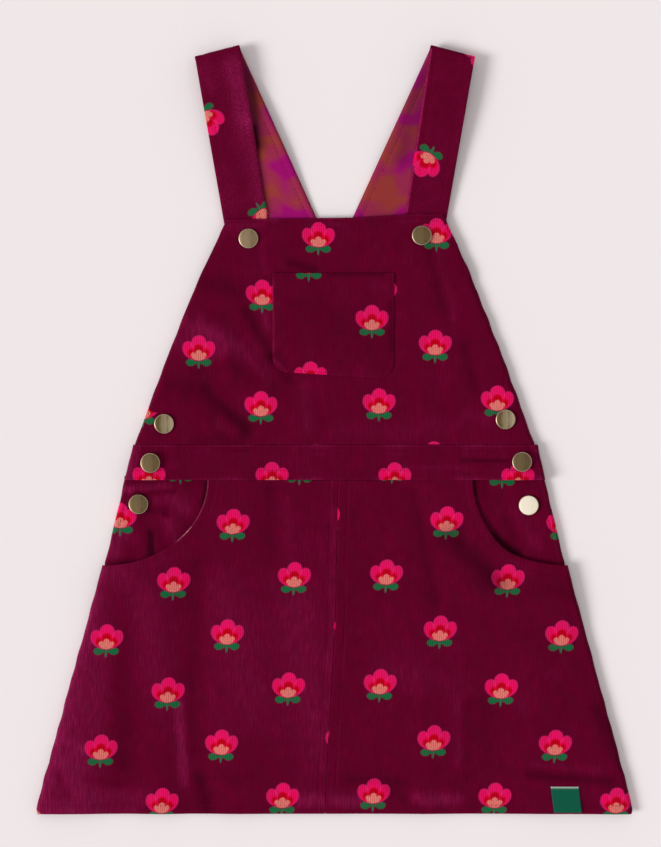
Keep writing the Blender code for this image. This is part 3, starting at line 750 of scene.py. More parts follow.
@dataclass(frozen=True)
class CorduroyFinish:
    """Fine printed corduroy: a deep wine pile with painted shade in its grooves, paler in places by brushing
    and by painted light.
    """

    # groove and deep are painted shade: in the wales' hollows, and in folds and creases.
    groove: tuple = shade(66, 0, 22)
    ground: tuple = shade(92, 0, 34)
    deep: tuple = shade(44, 0, 15)
    # The paler pile, of brushing and of painted light.
    brushed_and_painted_light: tuple = shade(154, 30, 86)
    # The pale of wear and of painted highlights on edges.
    wear_and_highlight: tuple = shade(232, 150, 168)
    roughness: float = 0.9
    flowers: FlowerPrint = FlowerPrint()

    def mouth_highlight(self, graph: Graph, grid: PrintGrid, mouth: Scoop, x: Link, y: Link) -> Link:
        """1 along a stretch of a pocket mouth's folded edge, most of all halfway down it: a painted
        highlight.

        The place is taken back to the plan, and its distance from the ellipse is found as the scoop's beyond
        finds it.
        """
        across = (x + y * grid.lean - mouth.corner_x) / mouth.reach
        down = (y - mouth.top) / mouth.depth
        away = abs((across * across + down * down) ** 0.5 - 1.0) * mouth.depth
        ragged = graph.noise(x * 0.7, y * 0.7, 9.0).above(0.38, 0.62)
        stretch = y.above(-85.0, -82.0) * 0.45 + y.above(-81.5, -79.5) * 0.55 - y.above(-76.0, -72.0) * 0.86
        return (1.0 - away.above(0.2, 0.9)) * (ragged * 0.75 + 0.25) * stretch

    def material(self, name: str, grid: PrintGrid, combed: float = 0.09, specks: float = 0.12,
                 mouth: Scoop | None = None) -> Material:
        """Make the material of one piece.

        The tone attribute darkens the ground with painted shade down to -1, or makes it paler, partly by
        brushing and partly with painted light, and far past 1 turns it to the pale of wear and painted
        highlight; the paler pile comes in fine uneven streaks along the wales, and in patches. The attribute
        bare marks where the print has missed.

        Args:
            name: The material's name.
            grid: Where the flowers sit on this piece.
            combed: How many streaks end in a millimetre of length.
            specks: How much the pile is specked with paler ends.
            mouth: The pocket mouth whose edge takes a painted highlight, if it has one.

        Returns:
            The material.
        """
        graph = Graph(name)
        x, y = graph.cloth_place()
        crown = abs(graph.maths("SINE", x * (math.pi / WALE_PITCH)))
        streak = graph.noise(x * (1.1 / WALE_PITCH), y * combed, 1.0).above(0.42, 0.78)
        fleck = graph.noise(x * 1.6, y * 0.9, 2.0)
        cloud = graph.noise(x * 0.045, y * 0.03, 4.0)
        nap = graph.attribute("nap")
        pale = nap.larger(0.0)
        patch = cloud.above(0.45, 0.75)
        speck = graph.noise(x * 1.3, y * 0.9, 7.0).above(0.5, 0.64) * (pale + 0.25) * specks
        # Paler pile: brushing, and painted light where the tone is above 0.
        brushed_and_painted_light = (pale * 0.26 + streak * (pale * 0.42 + patch * 0.1 + 0.03) + speck).clamped()
        ground = graph.mix(brushed_and_painted_light, self.ground, self.brushed_and_painted_light)
        # Painted shade where the tone is below 0.
        ground = graph.mix((nap * -1.0).clamped(), ground, self.deep)
        # Wear and painted highlights where the tone is far past 1, and along a pocket mouth's edge.
        wear_and_highlight = nap.above(1.5, 2.4) * fleck.above(0.3, 0.6)
        if mouth is not None:
            wear_and_highlight = wear_and_highlight.larger(self.mouth_highlight(graph, grid, mouth, x, y))
        ground = graph.mix(wear_and_highlight, ground, self.wear_and_highlight)
        mottle = graph.noise(x * 0.14, y * 0.1, 8.0)
        ground = graph.shaded(ground, fleck * 0.34 + cloud * 0.2 + mottle * 0.44 + 0.51)
        printed, flower = self.flowers.paint(graph, grid, x, y, ground)
        bare = graph.attribute("bare").above(0.45, 0.55)
        printed = graph.mix(bare, printed, ground)
        flower = flower * (1.0 - bare)
        # Painted shade over the flowers as well.
        printed = graph.mix((nap * -0.7).clamped() * flower, printed, self.deep)
        # Painted shade in the wales' grooves.
        groove = (1.0 - crown) ** 2.0 * (1.0 - wear_and_highlight)
        colour = graph.mix(groove * (flower * 0.2 + 0.22), printed, self.groove)
        pile = graph.noise(x * 4.5, y * 3.0, 6.0)
        return graph.finish(
            colour, self.roughness, graph.bump(pile, 0.0001, 0.5),
            Specular_IOR_Level=0.03, Sheen_Weight=0.05, Sheen_Roughness=0.4, Sheen_Tint=shade(220, 90, 140),
        )


@dataclass(frozen=True)
class WrongSideFinish:
    """The smooth twill back of the corduroy, which faces inwards."""

    colour: tuple = shade(92, 8, 40)
    twill: float = 0.9

    def material(self) -> Material:
        """A plain twill: diagonal ribs half a millimetre wide."""
        graph = Graph("corduroy_wrong_side")
        x, y = graph.cloth_place()
        rib = abs(graph.maths("SINE", (x + y) * (math.pi / self.twill)))
        # Painted shade between the twill's ribs.
        colour = graph.shaded(self.colour, rib * 0.35 + 0.65)
        return graph.finish(colour, 0.92, graph.bump(rib, 0.0001), Specular_IOR_Level=0.15)


@dataclass(frozen=True)
class LiningFinish:
    """Smooth printed cotton: soft patches of violet and rust on a rose ground."""

    rose: tuple = shade(158, 42, 78)
    violet: tuple = shade(162, 8, 108)
    rust: tuple = shade(158, 58, 54)
    shadow: tuple = shade(52, 6, 22)
    patch_along: float = 38.0
    patch_across: float = 46.0
    first_patch: float = 224.0
    wander: float = 0.06
    wander_by: float = 34.0

    def material(self) -> Material:
        """Two sets of soft patches that alternate along the strap, with wandering edges and a fine weave.

        Where the tone attribute is below 0 the cloth takes painted shadow.
        """
        graph = Graph("lining")
        x, y = graph.cloth_place()
        wander_x, wander_y = (
            place + (graph.noise(x * self.wander, y * self.wander, seed, 0.0) - 0.5) * self.wander_by
            for place, seed in ((x, 1.0), (y, 2.0))
        )
        wave_x = graph.maths("SINE", wander_x * (math.tau / self.patch_across))
        wave_y = graph.maths("SINE", (wander_y - self.first_patch) * (math.tau / self.patch_along))
        field_value = wave_x * 0.75 + wave_y
        colour = graph.mix(field_value.above(0.25, 1.15), self.rose, self.violet)
        colour = graph.mix((field_value * -1.0).above(0.3, 1.15), colour, self.rust)
        # Painted shadow where the tone is below 0.
        colour = graph.mix((graph.attribute("nap") * -1.0).clamped(), colour, self.shadow)
        weave = graph.maths("SINE", x * 9.0) * graph.maths("SINE", y * 9.0)
        # Painted light and shade of the weave's relief.
        colour = graph.shaded(colour, weave * 0.06 + 0.94)
        return graph.finish(colour, 0.85, graph.bump(weave, 0.00004), Specular_IOR_Level=0.08)


@dataclass(frozen=True)
class BrassFinish:
    """Antique brass: clouded, brush-marked face painted lighter on one half; rim of wear and painted
    highlight.
    """

    name: str
    face: tuple
    tarnish: tuple
    metal: float = 1.0
    # How much lighter one side of the face is painted, as if lit from there.
    painted_light_slope: float = 0.03
    # The rim's pale is wear and painted highlight; edge is the painted shadow round the cap.
    wear_and_highlight: tuple = shade(212, 192, 164)
    edge: tuple = shade(40, 22, 20)
    rim: float = 6.95

    def material(self) -> Material:
        """The cap's UV map gives its radius and turn, so the paler rim and painted shadow follow it; one half
        is painted lighter.
        """
        graph = Graph(self.name)
        radius, turn = graph.cloth_place("turned")
        left = radius * graph.maths("COSINE", turn * (1.0 / TURN_SCALE)) * -1.0
        # Painted light: the face grows lighter towards one side.
        cloud = graph.noise(left * 0.3, radius * 0.1, 1.0, 4.0) + left * self.painted_light_slope
        brush = graph.noise(radius * 5.0, turn * 0.01, 2.0, 2.0)
        colour = graph.mix(cloud.above(0.2, 0.8), self.tarnish, self.face)
        # A paler rim: wear and painted highlight.
        colour = graph.mix(radius.above(self.rim - 0.2, self.rim + 0.1), colour, self.wear_and_highlight)
        # A painted shadow line round the outer edge.
        colour = graph.mix(radius.above(self.rim + 0.25, self.rim + 0.4), colour, self.edge)
        roughness = cloud * 0.12 + brush * 0.06 + 0.34
        return graph.finish(colour, roughness, graph.bump(brush, 0.00003, 0.5), Metallic=self.metal)


@dataclass(frozen=True)
class LabelFinish:
    """A woven green tab with a paler selvedge."""

    green: tuple = shade(4, 88, 66)
    selvedge: tuple = shade(190, 204, 190)
    rib: float = 0.55

    def material(self) -> Material:
        """Fine crosswise ribs; the tone attribute marks the pale selvedge."""
        graph = Graph("woven_label")
        x, y = graph.cloth_place()
        rib = abs(graph.maths("SINE", y * (math.pi / self.rib)))
        fleck = graph.noise(x * 3.0, y * 3.0, 1.0, 2.0)
        colour = graph.mix(graph.attribute("nap"), self.green, self.selvedge)
        # Painted shade between the ribs, and random flecks.
        colour = graph.shaded(colour, rib * 0.22 + fleck * 0.2 + 0.72)
        return graph.finish(colour, 0.7, graph.bump(rib, 0.00008), Specular_IOR_Level=0.1)


@dataclass(frozen=True)
class ThreadFinish:
    """Twisted sewing thread of nearly the cloth's own colour."""

    colour: tuple = shade(112, 6, 50)
    twist: float = 0.5

    def material(self) -> Material:
        """Slanting bands of painted shade along the stitch stand for the twist."""
        graph = Graph("sewing_thread")
        x, y = graph.cloth_place()
        twist = abs(graph.maths("SINE", (x + y * 0.5) * (math.pi / self.twist)))
        # Painted shade between the twist's bands.
        return graph.finish(graph.shaded(self.colour, twist * 0.4 + 0.7), 0.85, Specular_IOR_Level=0.05)


# Meshes


@dataclass(frozen=True)
class Rows:
    """Rows of places between two side edges, cut on the wale lines.

    u and v are the cloth's own coordinates across and along. part is the share of the way from the left edge
    to the right one. Places that fall beyond an edge share the point on that edge, and shared tells which.
    """

    u: Array
    v: Array
    part: Array
    shared: Array


def cut_on_wales(left: Array, right: Array) -> Rows:
    """Lay wale lines over rows that run from left to right edge points, both in cloth coordinates.

    A line crosses a row where u is a whole number of line steps; beyond the edges it is held at the edge.

    Args:
        left: (rows, 2) u and v of the left edge.
        right: (rows, 2) u and v of the right edge.

    Returns:
        The cut rows.
    """
    low, high = left[:, :1], right[:, :1]
    ends = math.floor(low.min() / LINE_STEP) - 1, math.ceil(high.max() / LINE_STEP) + 2
    lines = np.arange(*ends) * LINE_STEP
    margin = 0.2 * LINE_STEP
    within = (lines > low + margin) & (lines < high - margin)
    first = within.argmax(axis=1)[:, None]
    last = len(lines) - 1 - within[:, ::-1].argmax(axis=1)[:, None]
    shared = np.clip(np.arange(len(lines))[None, :], first - 1, last + 1)
    u = np.where(shared < first, low, np.where(shared > last, high, lines[shared]))
    part = (u - low) / (high - low)
    return Rows(u, between(left[:, 1:], right[:, 1:], part), part, shared)


def cut_evenly(left: Array, right: Array, columns: int) -> Rows:
    """Rows with the same number of evenly spaced places each, for cloth without wales."""
    part = np.broadcast_to(np.linspace(0.0, 1.0, columns + 1), (len(left), columns + 1))
    uv = between(left[:, None], right[:, None], part[..., None])
    shared = np.broadcast_to(np.arange(columns + 1), part.shape)
    return Rows(uv[..., 0], uv[..., 1], part, shared)


def number_points(shared: Array) -> tuple[Array, Array]:
    """Give each set of places that share a point one number; also say where each point is found first."""
    keys = shared + np.arange(len(shared))[:, None] * (shared.max() + 1)
    _, found, numbers = np.unique(keys.ravel(), return_index=True, return_inverse=True)
    return found, numbers.reshape(shared.shape)


def cell_faces(numbers: Array) -> list[list[int]]:
    """Faces of the cells between neighbouring rows, facing up where rows run down and columns to the right.

    A cell whose upper or lower corners share a point becomes a triangle, and one where both do is left out.
    """
    corners = np.stack([numbers[:-1, :-1], numbers[1:, :-1], numbers[1:, 1:], numbers[:-1, 1:]], axis=-1)
    corners = corners.reshape(-1, 4)
    upper = corners[:, 0] == corners[:, 3]
    lower = corners[:, 1] == corners[:, 2]
    faces = corners[~upper & ~lower].tolist()
    faces += corners[upper & ~lower][:, :3].tolist()
    faces += corners[~upper & lower][:, [0, 1, 3]].tolist()
    return faces


def end_faces(outer: Array, inner: Array, step: int) -> list[list[int]]:
    """Many-sided faces that close an end row, each from a coarse inner cell to the fine places over it."""
    faces = []
    for cell in range(len(inner) - 1):
        over = outer[cell * step:(cell + 1) * step + 1].tolist()
        corners = list(dict.fromkeys(over)) + list(dict.fromkeys([int(inner[cell + 1]), int(inner[cell])]))
        if len(corners) > 2 and inner[cell] != inner[cell + 1]:
            faces.append(corners)
    return faces


@dataclass
class Shell:
    """A closed wall of cloth: a fine right side, a coarse wrong side, and edges between them."""

    rows: Rows
    outer: Array
    inner: Array
    nap: Array
    bare: Array | None = None
    step: int = COARSE

    def mesh(self, name: str, right_side: Material, wrong_side: Material) -> bpy.types.Mesh:
        """Make the mesh, with its UV map cloth (metres across and along), its attribute of tone and painted
        light and shade, and its attribute bare.

        Args:
            name: The mesh's name.
            right_side: Material of the right side and the edges.
            wrong_side: Material of the wrong side.

        Returns:
            The mesh, in metres.
        """
        shared = self.rows.shared
        last = shared.shape[1] - 1
        pick = np.unique(np.append(np.arange(0, last, self.step), last))
        found, numbers = number_points(shared)
        inner_found, inner_numbers = number_points(shared[:, pick])
        inner_numbers = inner_numbers + len(found)
        points = np.concatenate([
            self.outer.reshape(-1, 3)[found],
            self.inner[:, pick].reshape(-1, 3)[inner_found],
        ]) * MM
        uv = stack(self.rows.u, self.rows.v) * MM
        uv = np.concatenate([uv.reshape(-1, 2)[found], uv[:, pick].reshape(-1, 2)[inner_found]])
        right = cell_faces(numbers)
        sides = []
        for outer, inner in ((numbers[:, 0], inner_numbers[:, 0]), (inner_numbers[:, -1], numbers[:, -1])):
            sides += np.stack([outer[:-1], inner[:-1], inner[1:], outer[1:]], axis=-1).tolist()
        sides += end_faces(numbers[0], inner_numbers[0], self.step)
        sides += [face[::-1] for face in end_faces(numbers[-1], inner_numbers[-1], self.step)]
        wrong = [face[::-1] for face in cell_faces(inner_numbers)]
        mesh = bpy.data.meshes.new(name)
        mesh.from_pydata(points.tolist(), [], right + sides + wrong)
        finish_mesh(mesh, uv, right_side, wrong_side)
        mesh.polygons.foreach_set("material_index", [0] * (len(right) + len(sides)) + [1] * len(wrong))
        # The tone attribute carries brushed pile with painted light and painted shade; bare marks missed
        # print.
        for layer, values in (("nap", self.nap), ("bare", self.bare)):
            if values is not None:
                values = np.concatenate([values.ravel()[found], values[:, pick].ravel()[inner_found]])
                data = mesh.attributes.new(layer, "FLOAT", "POINT").data
                data.foreach_set("value", values.astype(np.float32))
        return mesh


def finish_mesh(mesh: bpy.types.Mesh, uv: Array, *materials: Material, layer: str = "cloth") -> None:
    """Give a mesh its UV map, from one place for each point, its smooth shading and its materials."""
    corners = np.empty(len(mesh.loops), dtype=np.int32)
    mesh.loops.foreach_get("vertex_index", corners)
    mesh.uv_layers.new(name=layer).data.foreach_set("uv", uv[corners].astype(np.float32).ravel())
    mesh.polygons.foreach_set("use_smooth", [True] * len(mesh.polygons))
    mesh.set_sharp_from_angle(angle=CREASE_ANGLE)
    for material in materials:
        mesh.materials.append(material)


def add_object(name: str, data: bpy.types.ID) -> Piece:
    """A new object of the scene, for a mesh, a light or a camera."""
    made = bpy.data.objects.new(name, data)
    bpy.context.scene.collection.objects.link(made)
    return made


def place(name: str, mesh: bpy.types.Mesh, slot: Slot, *nodes: str) -> Piece:
    """Put a finished mesh in the scene, on the dress's body.

    Args:
        name: The piece's name.
        mesh: Its mesh, already where it belongs.
        slot: The finish it takes. Not used.
        nodes: The solids that it stands for.

    Returns:
        The piece.
    """
    piece = add_object(name, mesh)
    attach(piece, BODY)
    if nodes:
        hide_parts(*nodes)
    LOG.info("made %s: %d faces", name, len(mesh.polygons))
    return piece


def state_cut(piece: Piece, flat: Pair, area: float, held: str, rests_on: tuple[str, ...] = (),
              with_pieces: tuple[Piece, ...] = ()) -> None:
    """Log a piece's cut: its flat width, length and area.

    Args:
        piece: The piece of cloth.
        flat: Its flat width and length in millimetres.
        area: Its flat area in square millimetres.
        held: How it is held. Not used.
        rests_on: What it lies on. Not used.
        with_pieces: Its stitches. Not used.
    """
    flat, area = (float(flat[0]) * MM, float(flat[1]) * MM), float(area) * MM * MM
    LOG.info("cut of %s: %.0f x %.0f mm, %.4f m2", piece.name, flat[0] / MM, flat[1] / MM, area)


@dataclass(frozen=True)
class Stitching:
    """Rows of machine stitches, each a small plump stitch whose ends dip into the cloth."""

    length: float = 2.3
    pitch: float = 3.0
    radius: float = 0.2
    sides: int = 5
    rings: tuple[tuple[float, float, float], ...] = (
        (-1.0, 0.45, -0.32), (-0.55, 1.0, 0.0), (0.55, 1.0, 0.0), (1.0, 0.45, -0.32),
    )

    def along(self, path: Array, normal: Array) -> tuple[Array, Array]:
        """Stitches along one path.

        Each stitch is a row of rings. A ring's centre is the stitch's middle plus its direction times half
        its length times the ring's place, sunk along the normal; its radius is the stitch's times its share.

        Args:
            path: (n, 3) points on the cloth.
            normal: (n, 3) the cloth's normal at each of them.

        Returns:
            The points (stitches, rings, sides, 3) and each stitch's place along the path.
        """
        lengths = travelled(path)
        middles = np.arange(self.pitch / 2, lengths[-1], self.pitch)

        def at(distance: Array, values: Array) -> Array:
            """The path's own values, read off at distances along it."""
            return stack(*(np.interp(distance, lengths, column) for column in values.T))

        half = self.length / 2
        head, tail = at(middles + half, path), at(middles - half, path)
        centre = 0.5 * at(middles, path) + 0.25 * (head + tail)
        direction = (head - tail) / norms(head - tail)
        up = at(middles, normal)
        across = np.cross(direction, up)
        across /= norms(across)
        up = np.cross(across, direction)
        ring = np.array(self.rings)
        turn = math.tau * np.arange(self.sides) / self.sides
        centre, direction, across, up = (part[:, None, None] for part in (centre, direction, across, up))
        place_along, share, sink = (column[:, None, None] for column in ring.T)
        circle = np.cos(turn)[:, None] * across + np.sin(turn)[:, None] * up
        points = centre + direction * (place_along * half) + up * sink + circle * (share * self.radius)
        return points, middles

    def sew(self, name: str, paths: list[tuple[Array, Array]], material: Material) -> Piece:
        """All the stitches of a piece as one mesh."""
        points, middles = (np.concatenate(part) for part in zip(*(self.along(*path) for path in paths)))
        count, rings = len(points), len(self.rings)
        base = np.arange(count)[:, None, None] * rings * self.sides
        ring = np.arange(rings - 1)[None, :, None] * self.sides
        side = np.arange(self.sides)
        following = (side + 1) % self.sides
        near, far = base + ring, base + ring + self.sides
        quads = np.stack([near + side, near + following, far + following, far + side], axis=-1).reshape(-1, 4)
        first = base[:, 0] + side[::-1]
        last = base[:, 0] + (rings - 1) * self.sides + side
        mesh = bpy.data.meshes.new(name)
        faces = quads.tolist() + first.tolist() + last.tolist()
        mesh.from_pydata((points.reshape(-1, 3) * MM).tolist(), [], faces)
        places = middles[:, None, None] + np.array(self.rings)[None, :, :1] * self.length / 2
        u = np.broadcast_to(places, points.shape[:3])
        v = np.broadcast_to(np.arange(self.sides) * self.radius, points.shape[:3])
        finish_mesh(mesh, stack(u, v).reshape(-1, 2) * MM, material)
        return place(name, mesh, Slot.THREAD)


# Cloth pieces


class Finishes:
    """The finishes that pieces share."""

    def __init__(self) -> None:
        """Make each of them once."""
        self.corduroy = CorduroyFinish()
        self.wrong_side = WrongSideFinish().material()
        self.lining = LiningFinish().material()
        self.label = LabelFinish().material()
        self.thread = ThreadFinish().material()


Height = Callable[[Array, Array], Array]


def below_crowns(u: Array) -> Array:
    """How far the pile lies below the crowns of its wales, at places across the cloth."""
    return WALE_HEIGHT * (1.0 - np.abs(np.sin(math.pi * u / WALE_PITCH)))


@dataclass
class Panel:
    """A flat-cut corduroy piece: rows between two side edges, laid at a height, with its sewing.

    left and right hold one plan point for each row. under is the height of the side that faces the table, or
    of the hidden side of a back piece, whose right side faces down. edges are cut or turned edges with the
    radius each is rounded to. stitched are the rows of topstitching, which press into the cloth.
    """

    name: str
    nodes: tuple[str, ...]
    left: Array
    right: Array
    under: Height
    ply: float
    grid: PrintGrid
    edges: tuple[tuple[Line, float], ...] = ()
    stitched: tuple[Line, ...] = ()
    strokes: Strokes = ()
    bare: Folds = ()
    bend: Height | None = None
    mouth: Scoop | None = None
    faces_up: bool = True
    press: float = 0.32
    pucker: float = 0.2
    # ridge is the strength of the painted highlight beside each row of stitches.
    ridge: float = 0.25

    def to_cloth(self, plan: Array) -> Array:
        """Plan points as places across and along the cloth, whose wales lean."""
        return stack(plan[..., 0] - self.grid.lean * plan[..., 1], plan[..., 1])

    def relief(self, x: Array, y: Array) -> Array:
        """Height of the right side over the wrong side, before the wales.

        The ply, less a groove under each row of stitches, e^-(d/0.9)^2, with uneven puckers beside it that
        fade as e^-(d/4.5)^2, less the rounding of the edges.
        """
        height = np.full(np.shape(x), self.ply)
        for line in self.stitched:
            away, along = line.measure(x, y)
            height -= self.press * bell(away, GROOVE_HALF)
            height += self.pucker * ripple(along, 1.7 * away, PUCKER_LENGTH) * bell(away, 4.5)
        for line, radius in self.edges:
            height -= rounding(line.measure(x, y)[0], radius)
        return np.maximum(height, 0.2)

    def surface(self, x: Array, y: Array) -> Array:
        """Height of the right side at a place, at the crowns of the wales."""
        relief = self.relief(x, y)
        return self.under(x, y) + (relief if self.faces_up else -relief)

    def nap(self, x: Array, y: Array) -> Array:
        """How far the cloth is painted paler or darker: brushing, and painted light and shade.

        The strokes, a paler band along the edges (wear and painted highlight), and each row of stitches:
        painted shade in its groove, with an uneven paler ridge beside it (painted highlight).
        """
        amount = lifted(self.strokes, x, y)
        for line, _ in self.edges:
            # A paler band along the edges: wear and painted highlight.
            amount = amount + 0.22 * bell(line.measure(x, y)[0], 0.8) * (1.0 + ripple(x, y, 15.0))
        for line in self.stitched:
            away, along = line.measure(x, y)
            uneven = np.maximum(0.5 + 1.3 * ripple(along, away, 60.0), 0.0)
            ridge = bell(away - GROOVE_HALF, 0.5) * uneven
            # A painted highlight on the ridge beside each row, and painted shade in its groove.
            amount = amount + self.ridge * ridge - 0.12 * bell(away, 0.6)
        return np.clip(amount, -1.0, 3.0)

    def flat_size(self, rows: Rows) -> tuple[Pair, float]:
        """The cut's width and length, and its area: the rows' widths summed along the cloth."""
        area = abs(np.trapz(np.ptp(rows.u, axis=1), rows.v.mean(axis=1)))
        return (np.ptp(rows.u), np.ptp(rows.v)), area

    def build(self, finishes: Finishes, rests_on: tuple[str, ...]) -> Piece:
        """Make the piece and its stitches.

        Args:
            finishes: The finishes to dress it in.
            rests_on: What it lies on.

        Returns:
            The piece of cloth.
        """
        order = slice(None) if self.faces_up else slice(None, None, -1)
        left, right = self.left[order], self.right[order]
        rows = cut_on_wales(self.to_cloth(left), self.to_cloth(right))
        plan = between(left[:, None], right[:, None], rows.part[..., None])
        x, y = plan[..., 0], plan[..., 1]
        if self.bend is not None:
            y = y + self.bend(x, y)
        relief = self.relief(x, y) - below_crowns(rows.u)
        under = self.under(x, y)
        top = under + (relief if self.faces_up else -relief)
        material = finishes.corduroy.material(self.name, self.grid, mouth=self.mouth)
        bare = lifted(self.bare, x, y) if self.bare else None
        shell = Shell(rows, stack(x, y, top), stack(x, y, under), self.nap(x, y), bare)
        mesh = shell.mesh(self.name, material, finishes.wrong_side)
        piece = place(self.name, mesh, Slot.CORDUROY, *self.nodes)
        paths = [self.stitch_path(line) for line in self.stitched]
        stitches = Stitching().sew("stitching_" + self.name, paths, finishes.thread)
        state_cut(piece, *self.flat_size(rows), "laid", rests_on, (stitches,))
        return piece

    def stitch_path(self, line: Line) -> tuple[Array, Array]:
        """A row of stitches as points on the right side, a millimetre apart, and their normals."""
        lengths = travelled(line.points)
        steps = np.linspace(0.0, lengths[-1], max(2, round(lengths[-1])))
        x, y = (np.interp(steps, lengths, column) for column in line.points.T)
        sign = 1.0 if self.faces_up else -1.0
        return stack(x, y, self.surface(x, y) - STITCH_SINK * sign), stack(0.0 * x, 0.0, sign)


def spaced(start: float, end: float, step: float,
           near: tuple[float, ...] = (0.0, 0.25, 0.6, 1.1, 1.9)) -> Array:
    """Places from start to end about step apart, with closer ones near both ends."""
    sign = math.copysign(1.0, end - start)
    length = abs(end - start)
    inner = np.linspace(near[-1], length - near[-1], max(2, round((length - 2 * near[-1]) / step)))
    places = np.concatenate([near, inner[1:-1], [length - value for value in reversed(near)]])
    return start + sign * places


@dataclass
class Bib:
    """The front bib, whose top edge climbs a little to the right."""

    form: FrontForm
    ply: float = 1.5
    row_step: float = 2.9
    top_slopes: tuple[Pair, ...] = (
        (-80.0, 157.6), (-14.0, 158.6), (14.0, 158.9), (53.0, 161.3), (80.0, 162.0),
    )
    hem_row: float = 5.6
    edge_row: float = 1.6
    side_row: float = 1.6
    grid: PrintGrid = PrintGrid((-54.2, 100.4), (88.6, 2.1), (-1.0, -83.6), (41.1, -39.8), 0.01)
    bare: Folds = (Fold(-137, 30, -134, 19, 7.5, 1.0),)
    # The strokes are brushing and painted light and shade: lit and shaded sides of the bib's folds.
    strokes: Strokes = table(
        Stroke, (-112, 80, -84, 72, 7, 0.4), (-120, 68, -86, 60, 9, 0.4), (-98, 72, -60, 60, 9, 0.2),
        (-76, 64, -52, 42, 5, 0.3), (-98, 110, -72, 104, 7, -0.35), (-67, 89, -47, 54, 4.4, -0.5),
        (-47, 54, -35, 37, 4.6, -0.45), (-55, 94, -50, 76, 3.6, 0.35), (-79, 50, -60, 34, 5, -0.3),
        (-98, 31, -66, 0, 5.6, -0.5), (-84, 17, -68, 4, 7, -0.2), (-122, 32, -100, 42, 9, -0.25),
        (-88, 25, -72, 14, 4, 0.25), (-86, 6, -76, -4, 5, 0.4), (-104, -8, -72, -7, 6, -0.3),
        (-23, 32, -20, 0, 5, 0.25), (-55, 140, -52, 118, 3, 0.2), (-80, 152, -58, 150, 6, 0.25),
        (5, -2, 84, 2, 9, 0.15), (100, 11, 114, 7, 5, 0.25), (-33, 125, -15, 120, 3.4, -0.55),
        (-58, 160, -44, 157, 2.2, 0.5), (70, 134, 80, 92, 6, -0.35), (76, 132, 90, 84, 3.2, 0.22),
        (96, 64, 104, 32, 6, -0.35), (88, 150, 100, 112, 6, -0.15),
    )

    def top(self, x: Array) -> Array:
        """The y of the top edge at x."""
        return read_off(self.top_slopes, x)

    def panel(self) -> Panel:
        """Rows run level at the waist and follow the climbing top edge higher up."""
        middle = float(self.top(0.0))
        foot = self.form.band_top + SEAM_GAP
        y = spaced(middle, foot, self.row_step)
        climb = ((y - foot) / (middle - foot)) ** 2
        ends = (reach(self.form.bib, side, y) for side in Side)
        left, right = (stack(x, y + (self.top(x) - middle) * climb) for x in ends)
        across = np.linspace(left[0, 0], right[0, 0], 15)
        top_edge = Line(stack(across, self.top(across)))
        waist = straight((left[-1, 0], foot), (right[-1, 0], foot))
        sides = (Line(left), Line(right[::-1]))

        def bow(x: Array, level: Array) -> Array:
            """How far a row stands above the straight line between its ends."""
            ends = np.interp(x, (left[0, 0], right[0, 0]), (left[0, 1], right[0, 1]))
            share = np.clip((level - foot) / (middle - foot), 0.0, 1.0)
            return (self.top(x) - ends) * share ** 2

        stitched = (
            top_edge.shifted(-self.edge_row), top_edge.shifted(-self.hem_row),
            sides[0].shifted(self.side_row), sides[1].shifted(self.side_row),
        )
        edges = ((top_edge, 1.1), (waist, 0.5), (sides[0], 1.0), (sides[1], 1.0))
        return Panel("bib", ("front_bib",), left, right, self.form.rest, self.ply, self.grid, edges, stitched,
                     self.strokes, self.bare, bow)


@dataclass
class PatchPocket:
    """The patch pocket: a square with rounded lower corners and a deep top hem, sewn flat on the bib."""

    form: FrontForm
    bib_ply: float = 1.5
    ply: float = 0.9
    left: float = -46.5
    right: float = 44.8
    top: float = 117.2
    foot_left: float = 42.8
    foot_right: float = 38.4
    corner: float = 12.0
    hem: float = 10.0
    row_step: float = 2.9
    sewn_row: float = 1.7
    lift: float = 0.05
    open_lift: float = 0.8
    open_fade: float = 9.0
    # Brushing, painted shade along the top edge and right side, and painted highlights along the left edge
    # and foot.
    strokes: Strokes = table(
        Stroke, (-22, 92, 22, 62, 20, -0.18), (-4, 116.4, 36, 116.4, 1.6, -0.5), (42, 94, 43, 60, 2.6, -0.45),
        (-43, 58, -35, 42, 4, -0.25), (-46, 112, -45.6, 58, 1.3, 0.5), (-44.6, 52, -36, 43.5, 1.3, 0.4),
        (30, 108, 40, 104, 5, 0.15), (-20, 44, 30, 42, 4, 0.12),
    )
    grid: PrintGrid = PrintGrid((-18.0, 39.0), (89.0, 0.0), (1.3, -84.8), (46.1, 42.4))

    def panel(self) -> Panel:
        """Rows are closer near the foot, where each side edge turns through a quarter circle."""
        depth = self.top - 0.5 * (self.foot_left + self.foot_right)
        rows = spaced(0.0, depth - self.corner, self.row_step)
        turn = np.linspace(0.0, math.pi / 2, 15)[1:]
        down = np.concatenate([rows, depth - self.corner + self.corner * np.sin(turn)]) / depth
        pull = np.concatenate([np.zeros(len(rows)), self.corner * (1.0 - np.cos(turn))])
        left = stack(self.left + pull, self.top - down * (self.top - self.foot_left))
        right = stack(self.right - pull, self.top - down * (self.top - self.foot_right))
        outline = Line(np.concatenate([left, right[::-1]]))
        hem_y, row = self.top - self.hem, self.sewn_row
        stitched = (outline.shifted(row), straight((self.left + row, hem_y), (self.right - row, hem_y)))
        edges = ((outline, 0.8), (straight(left[0], right[0]), 0.8))

        def under(x: Array, y: Array) -> Array:
            """The bib's right side, and the pocket's open end a little above it."""
            open_end = self.open_lift * bell(self.top - y, self.open_fade)
            return self.form.rest(x, y) + self.bib_ply + self.lift + open_end

        return Panel("patch_pocket", ("bib_pocket",), left, right, under, self.ply, self.grid, edges,
                     stitched, self.strokes, press=0.15, ridge=0.08)


